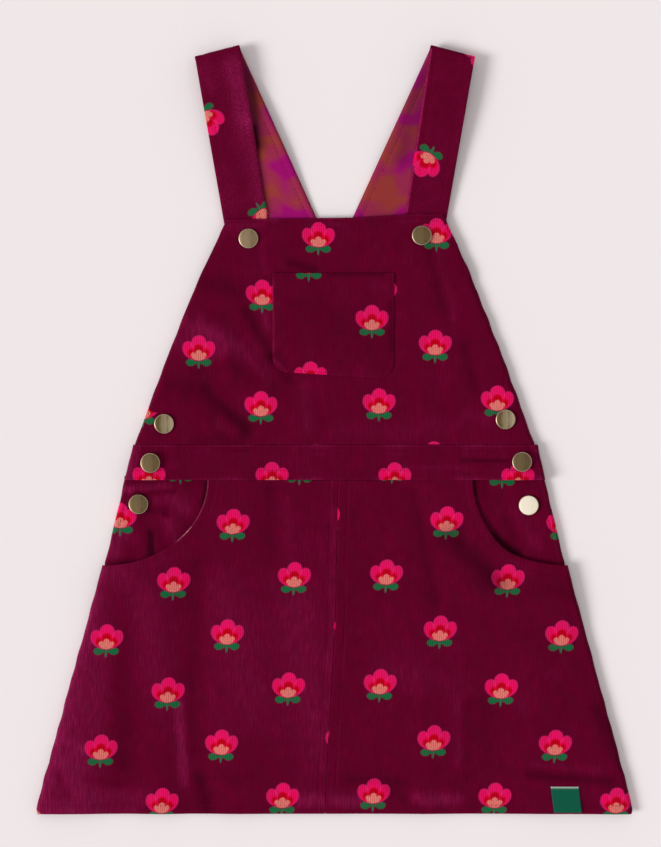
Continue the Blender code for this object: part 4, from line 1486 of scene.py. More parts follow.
@dataclass
class Waistband:
    """The waistband strip, with two rows of stitches along each edge."""

    form: FrontForm
    ply: float = 2.2
    row_step: float = 2.2
    rows_of_stitches: tuple[float, ...] = (1.5, 7.2)
    end_row: float = 4.5
    row_end: float = 2.0
    grid: PrintGrid = PrintGrid((-138.8, -36.0), (92.0, -0.3), (0.0, -82.5), (46.0, -41.2))
    creases: Folds = table(
        Crease, (92, -22.5, 131, -23.4, 1.9, -0.9), (-60, -24.5, -20, -23.5, 2.4, -0.25),
        (-122, -21, -96, -22.5, 2.2, -0.3), (10, -27, 40, -26, 2.2, -0.2),
    )
    # Brushing, painted light at the band's left end and painted shade along its creases.
    strokes: Strokes = table(
        Stroke, (-153, -18, -155, -35, 5, 0.8), (-120, -22, 40, -20, 12, 0.06),
        (96, -22.4, 130, -24, 1.5, -0.6), (44, -29, 100, -28, 1.6, 0.2), (-92, -15, -60, -14, 2.5, -0.2),
    )

    def panel(self) -> Panel:
        """Rows run level; the creases are the band's own."""
        top, foot = self.form.band_top - SEAM_GAP, self.form.band_foot + SEAM_GAP
        y = spaced(top, foot, self.row_step)
        left, right = (stack(reach(self.form.band, side, y), y) for side in Side)
        ends = (Line(left), Line(right[::-1]))
        levels = [(0, top - row) for row in self.rows_of_stitches]
        levels += [(-1, foot + row) for row in self.rows_of_stitches]
        stitched = [straight((left[at, 0] + self.row_end, level), (right[at, 0] - self.row_end, level))
                    for at, level in levels]
        stitched += [end.shifted(self.end_row) for end in ends]

        def under(x: Array, y: Array) -> Array:
            """The front's height with the band's own creases."""
            return self.form.rest(x, y) + lifted(self.creases, x, y)

        edges = tuple((straight(left[at], right[at]), 0.9) for at in (0, -1))
        edges += tuple((end, 1.2) for end in ends)
        return Panel("waistband", ("front_waistband",), left, right, under, self.ply, self.grid, edges,
                     tuple(stitched), self.strokes, ridge=0.7)


@dataclass
class SkirtPanel:
    """One front skirt panel: pocket mouth and side edge on one hand, centre seam on the other."""

    form: FrontForm
    side: Side
    ply: float = 1.5
    mouth_rows: int = 36
    row_step: float = 3.1
    hem_corner: float = 4.0
    hem_row: float = 6.4
    mouth_row: float = 6.0
    seam_rows: Pair = (5.6, 7.2)
    seam_drop: float = 82.0
    centre_seam: tuple[Pair, ...] = ((-288.4, -7.1), (-231.0, -4.7), (-147.0, 0.7), (-37.9, 2.6))
    grids: tuple[PrintGrid, ...] = (
        PrintGrid((-76.0, -71.4), (90.3, 3.6), (-4.4, -82.8), (45.8, -40.0), 0.053),
        PrintGrid((84.0, -69.5), (90.9, -3.3), (-4.8, -82.1), (45.8, -43.3), 0.058),
    )
    bare: Folds = table(
        Fold, (-221, -270, -208, -277, 7.5, 1), (-206, -277, -203, -286, 6, 1),
        (-223, -277, -212, -281, 8, 1), (-210, -280, -209, -288, 9, 1), (7, -63.2, 3, -55.5, 2.3, 1),
        (7, -63.6, 3, -71.5, 2.3, 1), (-4.1, -147.6, 0.6, -141, 2.3, 1),
        (-4.1, -147.6, 0.6, -154.2, 2.3, 1),
    )
    # Brushing, painted light on the left edges and the lit sides of folds, and painted shade in folds and
    # creases.
    strokes: tuple[Strokes, ...] = (
        table(
            Stroke, (-178, -106, -222, -287, 7, 0.8), (-165, -108, -198, -287, 22, 0.4),
            (-163, -128, -158, -250, 11, -0.4), (-138, -126, -130, -205, 10, 0.22),
            (-117, -208, -113, -264, 4, 0.85), (-105, -104, -108, -192, 7, -0.3),
            (-108, -208, -105, -240, 5, -0.38), (-102, -262, -95, -285, 6, -0.55),
            (-84, -120, -62, -210, 14, 0.22), (-30, -130, -10, -250, 16, 0.25),
            (-48, -45, -49, -100, 5, -0.22), (-36, -52, -33, -100, 4, 0.16), (-32, -277, 0, -279, 5, 0.8),
            (-216, -284, -150, -286, 4, 0.3), (-198, -252, -190, -284, 15, 0.35),
            (-186, -262, -160, -266, 4, -0.3), (-208, -258, -200, -276, 4, -0.3),
            (-208, -232, -186, -240, 3, 0.35), (-92, -261, -60, -262, 4, -0.15),
            (-176, -276, -146, -277, 8, 0.3), (-170, -170, -40, -170, 75, 0.12), (0, -60, -3, -230, 3, 0.22),
        ),
        table(
            Stroke, (86, -80, 122, -114, 9, -0.6), (59, -50, 74, -128, 6, -0.3),
            (112, -116, 178, -122, 10, -0.22), (150, -150, 190, -200, 26, -0.1),
            (36, -182, 95, -194, 10, 0.16), (92, -202, 93, -250, 4, 0.25), (101, -206, 100, -262, 5, -0.2),
            (112, -208, 116, -250, 10, -0.18), (50, -170, 72, -170, 24, 0.1), (6, -262, 54, -264, 4, -0.3),
            (42, -270, 58, -280, 6, -0.3), (146, -259, 206, -264, 3.5, -0.5),
            (150, -251, 198, -256, 2.6, 0.25), (196, -208, 214, -250, 5, -0.4), (0, -278, 24, -279, 5, 0.8),
            (60, -277, 92, -278, 5, 0.7), (128, -198, 142, -206, 6, 0.2), (176, -104, 182, -118, 3, 0.3),
            (14, -60, 12, -160, 9, -0.1),
        ),
    )

    def seam_x(self, y: Array) -> Array:
        """The centre-front seam's x at y."""
        return read_off(self.centre_seam, y)

    def panel(self) -> Panel:
        """Rows fan out from the pocket mouth to the seam, then run level down to the hem."""
        form, sign = self.form, self.side.value
        which = 0 if self.side is Side.LEFT else 1
        scoop = form.scoops[which]
        mouth = scoop.curve(np.linspace(0.0, math.pi / 2, self.mouth_rows + 1)[:-1])
        start = form.band_foot - scoop.depth - 0.4
        side_y = spaced(start, form.hem, self.row_step, (0.0, 0.2, 0.5, 0.95, 1.6, 2.4, 3.3))
        into_corner = np.maximum(self.hem_corner - (side_y - form.hem), 0.0)
        side_x = reach(form.skirt, self.side, side_y)
        side_x = side_x - sign * (self.hem_corner - np.sqrt(self.hem_corner ** 2 - into_corner ** 2))
        outer = np.concatenate([mouth, stack(side_x, side_y)])
        fan_foot = form.band_foot - self.seam_drop
        top = form.band_foot - SEAM_GAP
        even = np.linspace(0.0, 1.0, self.mouth_rows + 1)[:-1]
        fan = top + (fan_foot - top) * ((mouth[:, 1] - top) / (start - top) * 0.35 + 0.65 * even)
        fan[1:4] = top - np.array([0.3, 0.8, 1.6])
        level = fan_foot + (side_y - start) * (form.hem - fan_foot) / (form.hem - start)
        seam_y = np.concatenate([fan, level])
        near_hem = side_y - form.hem < 3.4
        seam_y[len(fan):][near_hem] = side_y[near_hem]
        inner = stack(self.seam_x(seam_y) + sign * SEAM_GAP, seam_y)
        left, right = self.side.order(outer, inner)
        mouth_line, seam_line = Line(mouth), Line(inner[::6])
        side_line = Line(stack(side_x, side_y)[:-3])
        waist, hem_line = (straight(left[at], right[at]) for at in (0, -1))
        seam_row = Line(seam_line.points + (sign * self.seam_rows[which], 0.0))
        hem_level = form.hem + self.hem_row
        hem_x = sorted((float(self.seam_x(hem_level)), float(reach(form.skirt, self.side, hem_level))))
        hem_row = straight((hem_x[0] + 1.0, hem_level), (hem_x[1] - 1.0, hem_level))
        mouth_row = mouth_line.shifted(-sign * self.mouth_row)
        edges = ((mouth_line, 1.1), (side_line, 1.0), (seam_line, 0.45), (hem_line, 1.1), (waist, 0.5))
        word = self.side.word
        return Panel("skirt_" + word, ("front_skirt_" + word,), left, right, form.rest, self.ply,
                     self.grids[which], edges, (mouth_row, seam_row, hem_row), self.strokes[which], self.bare,
                     # Only the left mouth's edge, which faces the light, takes the painted highlight.
                     mouth=scoop if self.side is Side.LEFT else None)


@dataclass
class PocketBacking:
    """The side piece that shows inside a pocket mouth, tucked under the skirt and the waistband."""

    form: FrontForm
    side: Side
    ply: float = 1.2
    tuck: float = 12.0
    under_band: float = 3.0
    side_row: float = 4.5
    rows: int = 44
    grids: tuple[PrintGrid, ...] = (
        PrintGrid((-160.7, -67.0), (88.5, 0.0), (0.0, -82.5), (45.2, 39.1)),
        PrintGrid((171.2, -71.6), (88.5, 0.0), (0.0, -82.5), (-45.6, 40.6)),
    )
    creases: tuple[Folds, ...] = (
        table(
            Crease, (-160, -48.2, -124, -49.5, 2.2, -1), (-137.5, -70, -136.5, -101, 2.4, -1.1),
            (-126, -60, -104, -80, 3.4, 0.7), (-128, -80, -112, -90, 3, 0.5),
            (-150, -62, -140, -86, 3.4, 0.4),
        ),
        (Fold(105, -42, 110, -64, 6, 1.5),) + table(
            Crease, (112, -48, 132, -60, 3.6, 0.5), (118, -66, 140, -90, 4, 0.6),
            (150, -44, 160, -60, 3, 0.4), (128, -86, 150, -98, 3.2, 0.5),
        ),
    )
    # Brushing, painted shade in the backings' folds and under the pocket mouths' edges, and painted light on
    # lit sides.
    strokes: tuple[Strokes, ...] = (
        table(
            Stroke, (-160, -76, -168, -96, 6, 0.7), (-156.5, -45, -153, -45.5, 2.8, 0.9),
            (-150, -44, -124, -42, 3, 0.45), (-150, -48.4, -120, -46.5, 1.5, -0.6),
            (-137.5, -78, -136.8, -98, 3, -0.8), (-128.5, -63.5, -125, -64.5, 1.8, -0.6),
            (-138, -52, -122, -60, 9, 0.25), (-142, -61, -127, -60, 3, -0.5), (-126, -68, -119, -86, 5, 0.35),
            (-122, -50, -110, -60, 5, 0.35), (-96, -40, -99, -57, 1.8, -0.7),
            (-172, -99, -140, -100, 2, -0.6), (-158, -62, -150, -84, 4, 0.2),
        ),
        table(
            Stroke, (104.5, -40, 106, -58, 1.6, -0.6), (106, -62, 116, -79, 1.8, -0.35),
            (119, -80, 136, -93, 4.4, -0.9), (144, -97, 172, -100, 1.2, -0.3), (128, -66, 134, -80, 4, -0.25),
            (136, -62, 152, -86, 5, 0.2), (112, -48, 122, -56, 5, -0.2),
        ),
    )

    def panel(self) -> Panel:
        """Rows run from the side edge to the hidden inner curve under the skirt."""
        form, which = self.form, 0 if self.side is Side.LEFT else 1
        scoop = form.scoops[which]
        angles = np.linspace(0.0, math.pi / 2, self.rows)
        inner = scoop.curve(angles, self.tuck)
        inner[0, 1] = form.band_foot + self.under_band
        outer_y = np.linspace(inner[0, 1], form.band_foot - scoop.depth - 0.2, self.rows)
        outer = stack(reach(form.backing, self.side, outer_y), outer_y)
        inner[-1, 0] = outer[-1, 0] - self.side.value * form.side_roll_width
        outer[-1, 1] = inner[-1, 1] + form.side_roll_width
        side_line = Line(outer[:-1])

        def under(x: Array, y: Array) -> Array:
            """The backing's height with its creases, which fade where the skirt covers it."""
            lift = lifted(self.creases[which], x, y) + 0.25 * ripple(x, y, 30.0)
            clear = ease(-3.0, 5.0, -scoop.beyond(x, y))
            shown = np.maximum(lift, -0.6) * ease(0.0, 5.0, form.inside(x, y)) * clear
            return form.backing_rest(x, y) + shown

        word = self.side.word
        sewn = side_line.shifted(-self.side.value * self.side_row)
        return Panel("pocket_side_" + word, ("pocket_backing_" + word,), *self.side.order(outer, inner),
                     under, self.ply, self.grids[which], ((side_line, 0.8),), (sewn,), self.strokes[which])


@dataclass
class Back:
    """The back of the dress, right side down: skirt, waistband and bodice, flat where they rest."""

    form: FrontForm
    inset: float = 4.5
    seam_row: float = 6.2
    row_end: float = 6.0
    grid: PrintGrid = PrintGrid((0.0, -70.0))
    bodice: tuple[Pair, ...] = (
        (-11.3, 144.0), (30.0, 128.0), (70.0, 112.0), (100.0, 96.0), (118.0, 80.0), (131.0, 66.0),
    )

    def panel(self, name: str, node: str, y: Array, left: Array, right: Array) -> Panel:
        """One back piece between two edges, with a stitched seam along its lower end."""
        left, right, ply = stack(left, y), stack(right, y), self.form.back_ply
        foot = y[-1] + self.seam_row
        seam = straight((left[-1, 0] + self.row_end, foot), (right[-1, 0] - self.row_end, foot))
        edges = ((straight(left[0], right[0]), 0.5), (straight(left[-1], right[-1]), 0.7),
                 (Line(left), 0.6), (Line(right), 0.6))
        return Panel(name, (node,), left, right, lambda x, _: np.full(np.shape(x), ply), ply, self.grid,
                     edges, (seam,), faces_up=False, press=0.3, pucker=0.0)

    def panels(self) -> list[Panel]:
        """The three pieces: skirt, waistband and bodice."""
        form = self.form
        skirt_y = spaced(form.band_foot, form.back_hem, 11.0)
        band_y = spaced(form.band_top, form.band_foot, 6.0)
        bodice_y = spaced(self.bodice[-1][0] - 0.2, form.band_top, 9.0)
        skirt, band = ([form.side_edge(side, y) - side.value * self.inset for side in Side]
                       for y in (skirt_y, band_y))
        half = read_off(self.bodice, bodice_y)
        return [
            self.panel("back_skirt_cloth", "back_skirt", skirt_y, *skirt),
            self.panel("back_band_cloth", "back_waistband", band_y, *band),
            self.panel("back_bodice_cloth", "back_bodice", bodice_y, -half, half),
        ]


@dataclass
class Strap:
    """One strap: up the back, over the shoulder fold and down to its end under the bib, with its lining.

    The strap is drawn as stations, each a line from its outer to its inner edge. Unrolled on the back's plan,
    the front run is the mirror image of itself in the fold line, moved out by the length of the turn, so the
    wales and the print run on over the fold as they do in one strip of cloth.
    """

    side: Side
    fold_outer: Pair
    fold_inner: Pair
    end_outer: Pair
    end_inner: Pair
    seam_outer: Pair
    seam_inner: Pair
    grid: PrintGrid
    strokes: Strokes
    # Painted shadow that the front run casts on the lining.
    lining_strokes: Strokes = ()
    ply: float = 1.5
    radius: float = 3.4
    raised: float = 3.2
    raised_from: float = 0.2
    raised_full: float = 0.6
    loft: float = 1.5
    end_top: float = 4.6
    bib_edge: float = 0.77
    edge_row: float = 6.0
    rows_back: int = 50
    rows_turn: int = 14
    rows_front: int = 56
    rock: float = 0.5
    rocks: float = 1.35
    crowning: float = 0.35
    lining_from: float = 0.1
    lining_to: float = 0.985
    lining_rows: int = 70
    lining_columns: int = 40
    lining_ply: float = 1.0
    lining_inset: float = 0.7
    gap: float = 0.3
    combed: float = 0.5
    specks: float = 0.6

    def back_lift(self, rise: Array) -> Array:
        """How high the back run stands off the table at a share of its length."""
        return self.raised * ease(self.raised_from, self.raised_full, rise)

    @property
    def out(self) -> Array:
        """The direction on the plan square to the shoulder fold, away from the dress."""
        along = np.subtract(self.fold_inner, self.fold_outer)
        along = along / np.linalg.norm(along)
        out = np.array([-along[1], along[0]])
        return out * np.sign(out[1])

    def stations(self) -> tuple[Array, Array, Array, Array, Array, Array]:
        """Outer and inner edge points, heights, turn angles, and the unrolled outer and inner edges."""
        outer, inner, out = np.array(self.fold_outer), np.array(self.fold_inner), self.out
        back = self.radius + self.ply / 2
        outer, inner = outer - out * back, inner - out * back
        low = self.ply / 2
        shoulder = low + self.raised
        high = shoulder + 2 * self.radius
        end = self.end_top - self.ply / 2
        rise = np.linspace(0.0, 1.0, self.rows_back + 1)[:-1, None]
        turn = np.linspace(0.0, math.pi, self.rows_turn + 1)
        fall = np.linspace(0.0, 1.0, self.rows_front + 1)[1:, None]
        shift = out[None, :] * self.radius * np.sin(turn)[:, None]
        shown = np.clip(fall[:, 0] / self.bib_edge, 0.0, 1.0)
        height = np.concatenate([
            low + self.back_lift(rise[:, 0]),
            shoulder + self.radius * (1.0 - np.cos(turn)),
            high + (end - high) * ease(0.0, 1.0, shown) + self.loft * np.sin(math.pi * shown),
        ])
        angle = np.concatenate([np.zeros(self.rows_back), turn, np.full(self.rows_front, math.pi)])
        edges, unrolled = [], []
        for fold, end_point, seam in ((outer, self.end_outer, self.seam_outer),
                                      (inner, self.end_inner, self.seam_inner)):
            back_run = between(np.array(seam), fold, rise)
            front_run = between(fold, np.array(end_point), fall)
            away = (front_run - outer) @ out
            mirrored = front_run - 2.0 * away[:, None] * out + out * math.pi * self.radius
            edges.append(np.concatenate([back_run, fold + shift, front_run]))
            unrolled.append(np.concatenate([back_run, fold + out * (self.radius * turn)[:, None], mirrored]))
        return edges[0], edges[1], height, angle, unrolled[0], unrolled[1]

    def build(self, finishes: Finishes) -> Piece:
        """Make the strap, its stitches and its lining."""
        outer, inner, height, angle, flat_outer, flat_inner = self.stations()
        left, right = self.side.order(outer, inner)
        flat_left, flat_right = self.side.order(flat_outer, flat_inner)
        rows = cut_on_wales(flat_left, flat_right)
        plan = between(left[:, None], right[:, None], rows.part[..., None])
        width = norms(right - left)
        middle, normal = self.lie(plan, height, angle, rows.part)
        relief = self.relief(rows.part, width, rows.v) - below_crowns(rows.u)
        nap = np.clip(self.strap_nap(plan, rows.part, angle), -1.0, 3.0)
        word = self.side.word
        name = "strap_cloth_" + word
        material = finishes.corduroy.material(name, self.grid, self.combed, self.specks)
        shell = Shell(rows, middle + normal * relief[..., None], middle - normal * (self.ply / 2), nap)
        mesh = shell.mesh(name, material, finishes.lining)
        piece = place(name, mesh, Slot.CORDUROY, "strap_" + word)
        paths = []
        for share, line in self.sewn(left, right, width):
            centre, up = self.lie(line[:, None], height, angle, share)
            lift = self.relief(share, width, rows.v.mean(axis=1)[:, None])[..., None] - STITCH_SINK
            paths.append(((centre + up * lift)[:, 0], up[:, 0]))
        stitches = Stitching().sew("stitching_strap_" + word, paths, finishes.thread)
        lengths = travelled(0.5 * (flat_left + flat_right))
        area = np.trapz(width[:, 0], lengths)
        state_cut(piece, (width.max(), lengths[-1]), area, "folded", (), (stitches,))
        self.build_lining(finishes)
        return piece

    def sewn(self, left: Array, right: Array, width: Array) -> list[tuple[Array, Array]]:
        """Where both rows of stitches run: their share of the width, and their points on the plan."""
        near = self.edge_row / width
        return [(share, between(left, right, share)) for share in (near, 1.0 - near)]

    def lie(self, plan: Array, height: Array, angle: Array, part: Array) -> tuple[Array, Array]:
        """Middle points and normals of the strap: flat, then round the turn, then flat again.

        The front run also rocks a little from side to side along its length and crowns in the middle.
        """
        travel = np.arange(len(height)) - self.rows_back - self.rows_turn
        travel = np.clip(travel, 0, None)[:, None] / self.rows_front
        ends = np.sin(math.pi * np.clip(travel / self.bib_edge, 0.0, 1.0))
        wave = np.sin(math.tau * self.rocks * travel + self.side.value)
        rock = self.rock * wave * (part - 0.5) * ends
        crowned = self.crowning * (1.0 - (2.0 * part - 1.0) ** 2) * ends
        z = height[:, None] + (rock + crowned)
        middle = np.concatenate([plan, z[..., None]], axis=-1)
        normal = np.zeros_like(middle)
        normal[..., :2] = self.out * np.sin(angle)[:, None, None]
        normal[..., 2] = -np.cos(angle)[:, None]
        return middle, normal

    def relief(self, part: Array, width: Array, along: Array) -> Array:
        """Height of the right side over the middle: half the ply, less the stitch grooves and round edges."""
        away = np.minimum(part, 1.0 - part) * width
        groove = 0.3 * bell(away - self.edge_row, GROOVE_HALF)
        pucker = 0.2 * ripple(along, 1.7 * away, PUCKER_LENGTH) * bell(away - self.edge_row, 4.0)
        return self.ply / 2 - groove + pucker - rounding(away, 1.0)

    def strap_nap(self, plan: Array, part: Array, angle: Array) -> Array:
        """Strokes of brushing and painted light on the front run; edges paler by wear and painted highlight.
        """
        x, y = plan[..., 0], plan[..., 1]
        strokes = lifted(self.strokes, x, y) * (angle > 1.5)[:, None]
        # A paler band along both edges: wear and painted highlight.
        return strokes + 0.2 * bell(np.minimum(part, 1.0 - part), 0.02)

    def build_lining(self, finishes: Finishes) -> None:
        """The printed strip on the back run's upper face, caught in the edges' stitches."""
        outer, inner = self.stations()[:2]
        rise = np.linspace(self.lining_from, self.lining_to, self.lining_rows)[:, None]
        outer, inner = (between(edge[0], edge[self.rows_back], rise) for edge in (outer, inner))
        width = norms(inner - outer)
        step = (inner - outer) * self.lining_inset / width
        left, right = self.side.order((outer + step)[::-1], (inner - step)[::-1])
        width = width[::-1]
        rows = cut_evenly(left, right, self.lining_columns)
        away = np.minimum(rows.part, 1.0 - rows.part) * width
        under = self.ply + self.gap + self.back_lift(rise[::-1])
        pucker = 0.14 * np.sin(math.tau * rows.v / 7.0) * bell(away - self.edge_row, 4.0)
        top = under + self.lining_ply - 0.35 * bell(away - self.edge_row, 0.8) + pucker
        top = top - rounding(away, 0.8) + 0.12 * ripple(rows.u, rows.v, 26.0)
        top = np.maximum(top, under + 0.15)
        # Painted shadow of the front run on the lining.
        painted_shadow = np.maximum(lifted(self.lining_strokes, rows.u, rows.v), -1.0)
        shell = Shell(rows, stack(rows.u, rows.v, top), stack(rows.u, rows.v, under - 0.25), painted_shadow)
        word = self.side.word
        mesh = shell.mesh("lining_cloth_" + word, finishes.lining, finishes.lining)
        piece = place("lining_cloth_" + word, mesh, Slot.LINING, "strap_lining_" + word)
        z, up = under + self.lining_ply - 0.3, np.tile([0.0, 0.0, 1.0], (len(left), 1))
        paths = [(np.hstack([line, z]), up) for _, line in self.sewn(left, right, width)]
        stitches = Stitching().sew("stitching_lining_" + word, paths, finishes.thread)
        length = np.linalg.norm(0.5 * (left[0] + right[0] - left[-1] - right[-1]))
        state_cut(piece, (width.max(), length), width.mean() * length, "laid", ("strap_cloth_" + word,),
                  (stitches,))


def straps() -> tuple[Strap, Strap]:
    """The left and right straps, which differ a little in how they lie."""
    left = Strap(
        Side.LEFT, (-104.9, 279.4), (-71.2, 288.1), (-79.3, 134.5), (-45.9, 134.5), (-66.0, 131.3),
        (-0.9, 131.3), PrintGrid((-120.2, 328.6), (89.0, 0.0), (2.1, 84.2), (44.5, 26.0)),
        # Brushing and painted light on the front run.
        table(Stroke, (-76, 272, -66, 232, 8, 0.7), (-66, 228, -55, 176, 8, 0.45),
              (-84, 190, -80, 170, 10, 0.15), (-98, 268, -94, 256, 6, 0.25)),
        # Painted shadow that the front run casts on the lining.
        table(Stroke, (-66, 280, -56, 214, 6, -0.66), (-61, 226, -50, 163, 3, -0.5)),
    )
    right = Strap(
        Side.RIGHT, (105.5, 279.4), (72.1, 288.1), (80.0, 134.5), (49.4, 134.5), (66.0, 131.3),
        (0.9, 131.3), PrintGrid((112.2, 368.7), (89.0, 0.0), (2.5, 91.0), (44.5, 41.0)),
        # Brushing, and a painted highlight along the front run's inner edge.
        table(Stroke, (102, 262, 92, 200, 4, 0.12), (72.2, 284, 54.1, 163, 0.6, 1.7)),
        # Painted shadow on the lining.
        table(Stroke, (64, 272, 51, 204, 7, -0.3), (70, 270, 30, 165, 30, -0.15)),
    )
    return left, right


# Metal, label and stage


@dataclass(frozen=True)
class SnapCap:
    """A domed snap cap: a turned face inside a rolled rim, with a short post that grips the cloth.

    profile gives radius and height above the seat, from the middle of the face to the middle of the post.
    tilt leans the cap's face, in degrees, towards the given direction, as the cloth below it does.
    """

    node: str
    brass: Material
    tilt: float = 0.0
    towards: float = 0.0
    steps: int = 56
    profile: tuple[Pair, ...] = (
        (0.0, 1.95), (1.5, 1.94), (3.0, 1.9), (4.5, 1.83), (5.8, 1.74), (6.5, 1.66), (6.9, 1.58),
        (7.15, 1.42), (7.35, 1.15), (7.5, 0.8), (7.4, 0.4), (7.1, 0.05), (6.4, -0.05), (5.6, -0.1),
        (5.4, -0.75), (2.5, -0.8), (0.0, -0.8),
    )

    def build(self) -> Piece:
        """Turn the profile about the cap's axis: (r cos, r sin, h) for each radius, height and angle."""
        low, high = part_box(self.node)
        centre = np.array([(low.x + high.x) / 2, (low.y + high.y) / 2, low.z]) / MM
        radius, height = np.array(self.profile).T
        turn = math.tau * np.arange(self.steps) / self.steps
        wide = radius[1:-1, None]
        ring = stack(wide * np.cos(turn), wide * np.sin(turn), height[1:-1, None]).reshape(-1, 3)
        points = np.concatenate([[[0.0, 0.0, height[0]]], ring, [[0.0, 0.0, height[-1]]]])
        lean, turn_to = math.radians(self.tilt), math.radians(self.towards)
        shift = points[:, 0] * math.cos(turn_to) + points[:, 1] * math.sin(turn_to)
        points[:, 2] -= math.tan(lean) * shift
        rings = len(wide)
        side = np.arange(self.steps + 1) % self.steps
        numbers = 1 + np.arange(rings)[:, None] * self.steps + side
        numbers = np.vstack([0 * side, numbers, 0 * side + len(points) - 1])
        mesh = bpy.data.meshes.new(self.node)
        mesh.from_pydata(((points + centre) * MM).tolist(), [], cell_faces(numbers))
        turns = np.concatenate([[0.0], np.tile(turn, rings), [0.0]])
        radii = np.concatenate([[0.0], np.repeat(radius[1:-1], self.steps), [0.0]])
        around = np.abs(np.angle(np.exp(1j * turns))) * TURN_SCALE
        finish_mesh(mesh, stack(radii, around) * MM, self.brass, layer="turned")
        return place(self.node.replace("snap_cap", "brass_cap"), mesh, Slot.BRASS, self.node)


def snap_caps() -> list[SnapCap]:
    """The eight caps, each leaning as the cloth under it does, in copies of one brass with painted light."""
    # Painted light: dimmer and brighter copies, two lit from one side, and one painted pale as a reflection.
    dim_painted_brass = BrassFinish("dull_brass", shade(136, 116, 84), shade(112, 94, 64)).material()
    clear = BrassFinish("clear_brass", shade(176, 150, 120), shade(142, 120, 92)).material()
    side_lit_painted_brass = BrassFinish("shining_brass", shade(196, 178, 144), shade(112, 94, 64), painted_light_slope=-0.05).material()
    pale = BrassFinish("pale_brass", shade(240, 228, 208), shade(234, 220, 198), 0.1).material()
    rows = (
        ("bib_left", clear, 2.0, 250.0), ("bib_right", dim_painted_brass, 1.5, 90.0), ("side_left", side_lit_painted_brass, 4.0, 300.0),
        ("side_right", side_lit_painted_brass, 3.0, 240.0), ("band_left", dim_painted_brass, 2.0, 180.0),
        ("band_right", dim_painted_brass, 1.5, 60.0), ("hip_left", dim_painted_brass, 1.5, 150.0), ("hip_right", pale, 7.0, 180.0),
    )
    return [SnapCap("snap_cap_" + name, *looks) for name, *looks in rows]


@dataclass
class HemLabel:
    """The small bare woven tab at the hem, folded once, with its pale selvedge at the top."""

    form: FrontForm
    x: float = 162.0
    y: float = -267.6
    width: float = 21.0
    height: float = 19.4
    slant: float = 2.4
    skirt_ply: float = 1.5
    ply: float = 0.9
    selvedge: float = 0.9

    def build(self, finishes: Finishes) -> Piece:
        """A small slanted shell whose free foot lifts a little and whose edges are rounded."""
        y = self.y - spaced(0.0, self.height, 0.9, (0.0, 0.15, 0.4, 0.8))
        share = (self.y - y) / self.height
        left = stack(self.x + share * self.slant, y)
        right = stack(self.x + self.width + share * self.slant, y)
        rows = cut_evenly(left, right, 48)
        x, yy = rows.u, rows.v
        away = np.minimum(rows.part, 1.0 - rows.part) * self.width
        down = np.minimum(share, 1.0 - share)[:, None] * self.height
        lift = 0.35 * share[:, None] ** 2 + 0.2 * np.sin(math.pi * rows.part)
        under = self.form.rest(x, yy) + self.skirt_ply + 0.08 + lift
        top = under + self.ply - rounding(away, 0.5) - rounding(down, 0.45) * 0.9
        top = np.maximum(top, under + 0.1)
        pale = bell(share[:, None] * self.height, self.selvedge) * np.ones_like(rows.part)
        shell = Shell(rows, stack(x, yy, top), stack(x, yy, under), pale)
        mesh = shell.mesh("label_tab", finishes.label, finishes.label)
        piece = place("label_tab", mesh, Slot.LABEL, "hem_label")
        state_cut(piece, (self.width, self.height), self.width * self.height, "folded", ("skirt_right",))
        return piece


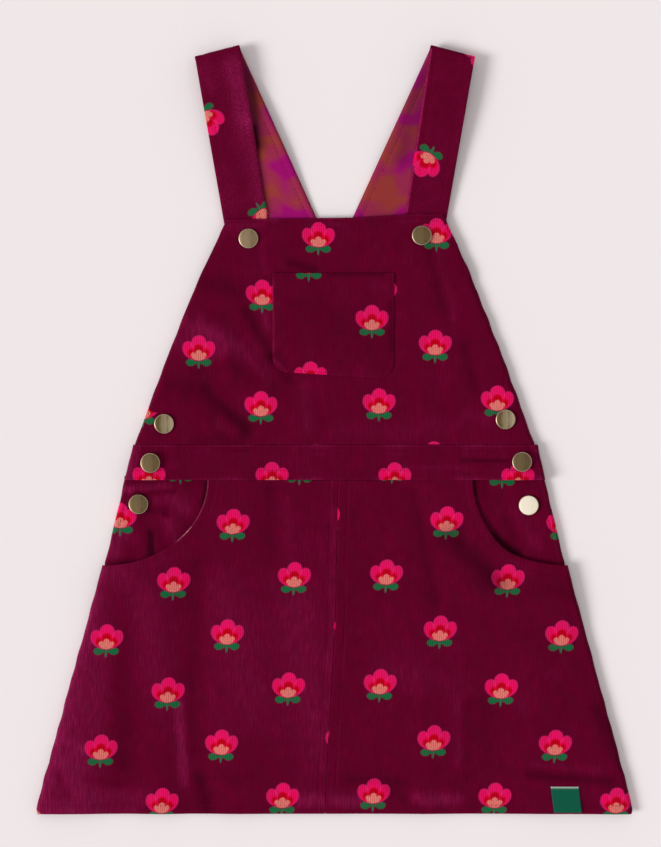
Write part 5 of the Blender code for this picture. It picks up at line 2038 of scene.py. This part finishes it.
@dataclass(frozen=True)
class Studio:
    """A plain pale floor, soft light from the left and the camera straight above."""

    centre: Pair = (-3.0, 4.5)
    tall: float = 635.25
    plane: float = 4.0
    distance: float = 2000.0
    sensor: float = 36.0
    half_floor: float = 3.0
    floor_drop: float = 0.0003
    floor_colour: tuple = shade(242, 233, 234)
    sky: float = 0.58
    key: float = 2.15
    key_elevation: float = 36.0
    key_bearing: float = 195.0
    key_softness: float = 24.0

    def build(self) -> None:
        """Make the floor, the lights and the camera."""
        self.floor()
        self.lights()
        self.camera()

    def floor(self) -> None:
        """A paper floor with a faint grain."""
        half = self.half_floor
        mesh = bpy.data.meshes.new("floor")
        corners = ((-half, -half), (half, -half), (half, half), (-half, half))
        mesh.from_pydata([(*corner, -self.floor_drop) for corner in corners], [], [(0, 1, 2, 3)])
        floor = add_object("floor", mesh)
        graph = Graph("paper")
        place_on = graph.node("ShaderNodeTexCoord", output="Object")
        grain = graph.node("ShaderNodeTexNoise", inputs={"Vector": place_on, "Scale": 900.0, "Detail": 2.0})
        colour = graph.shaded(self.floor_colour, grain * 0.02 + 0.99)
        mesh.materials.append(graph.finish(colour, 0.95, Specular_IOR_Level=0.05))

    def lights(self) -> None:
        """An even sky and a broad low sun from the left."""
        world = bpy.data.worlds.new("studio")
        world.use_nodes = True
        background = world.node_tree.nodes["Background"]
        background.inputs["Color"].default_value = (1.0, 1.0, 1.0, 1.0)
        background.inputs["Strength"].default_value = self.sky
        bpy.context.scene.world = world
        elevation, bearing = math.radians(self.key_elevation), math.radians(self.key_bearing)
        level = math.cos(elevation)
        source = Vector((level * math.cos(bearing), level * math.sin(bearing), math.sin(elevation)))
        sun = bpy.data.lights.new("key", "SUN")
        sun.energy = self.key
        sun.angle = math.radians(self.key_softness)
        lamp = add_object("key", sun)
        lamp.rotation_euler = (-source).to_track_quat("-Z", "Y").to_euler()

    def camera(self) -> None:
        """A long lens straight above, so that the frame is the given height of the dress's own plane."""
        data = bpy.data.cameras.new("camera")
        data.sensor_width = self.sensor
        data.lens = self.sensor * self.distance / self.tall
        data.clip_end = 20.0
        camera = add_object("camera", data)
        camera.location = (self.centre[0] * MM, self.centre[1] * MM, (self.distance + self.plane) * MM)
        bpy.context.scene.camera = camera
        bpy.context.scene.view_settings.view_transform = "Standard"


def main() -> None:
    """Dress the whole garment, then light it."""
    logging.basicConfig(level=logging.INFO, format="%(message)s")
    form = FrontForm()
    finishes = Finishes()
    for panel in Back(form).panels():
        panel.build(finishes, ())
    for strap in straps():
        strap.build(finishes)
    for side in Side:
        PocketBacking(form, side).panel().build(finishes, ("back_skirt_cloth",))
        SkirtPanel(form, side).panel().build(finishes, ("pocket_side_" + side.word, "back_skirt_cloth"))
    Bib(form).panel().build(finishes, ("back_bodice_cloth", "strap_cloth_left", "strap_cloth_right"))
    Waistband(form).panel().build(finishes, ("back_band_cloth",))
    PatchPocket(form).panel().build(finishes, ("bib",))
    for cap in snap_caps():
        cap.build()
    HemLabel(form).build(finishes)
    Studio().build()


if __name__ == "__main__":
    main()
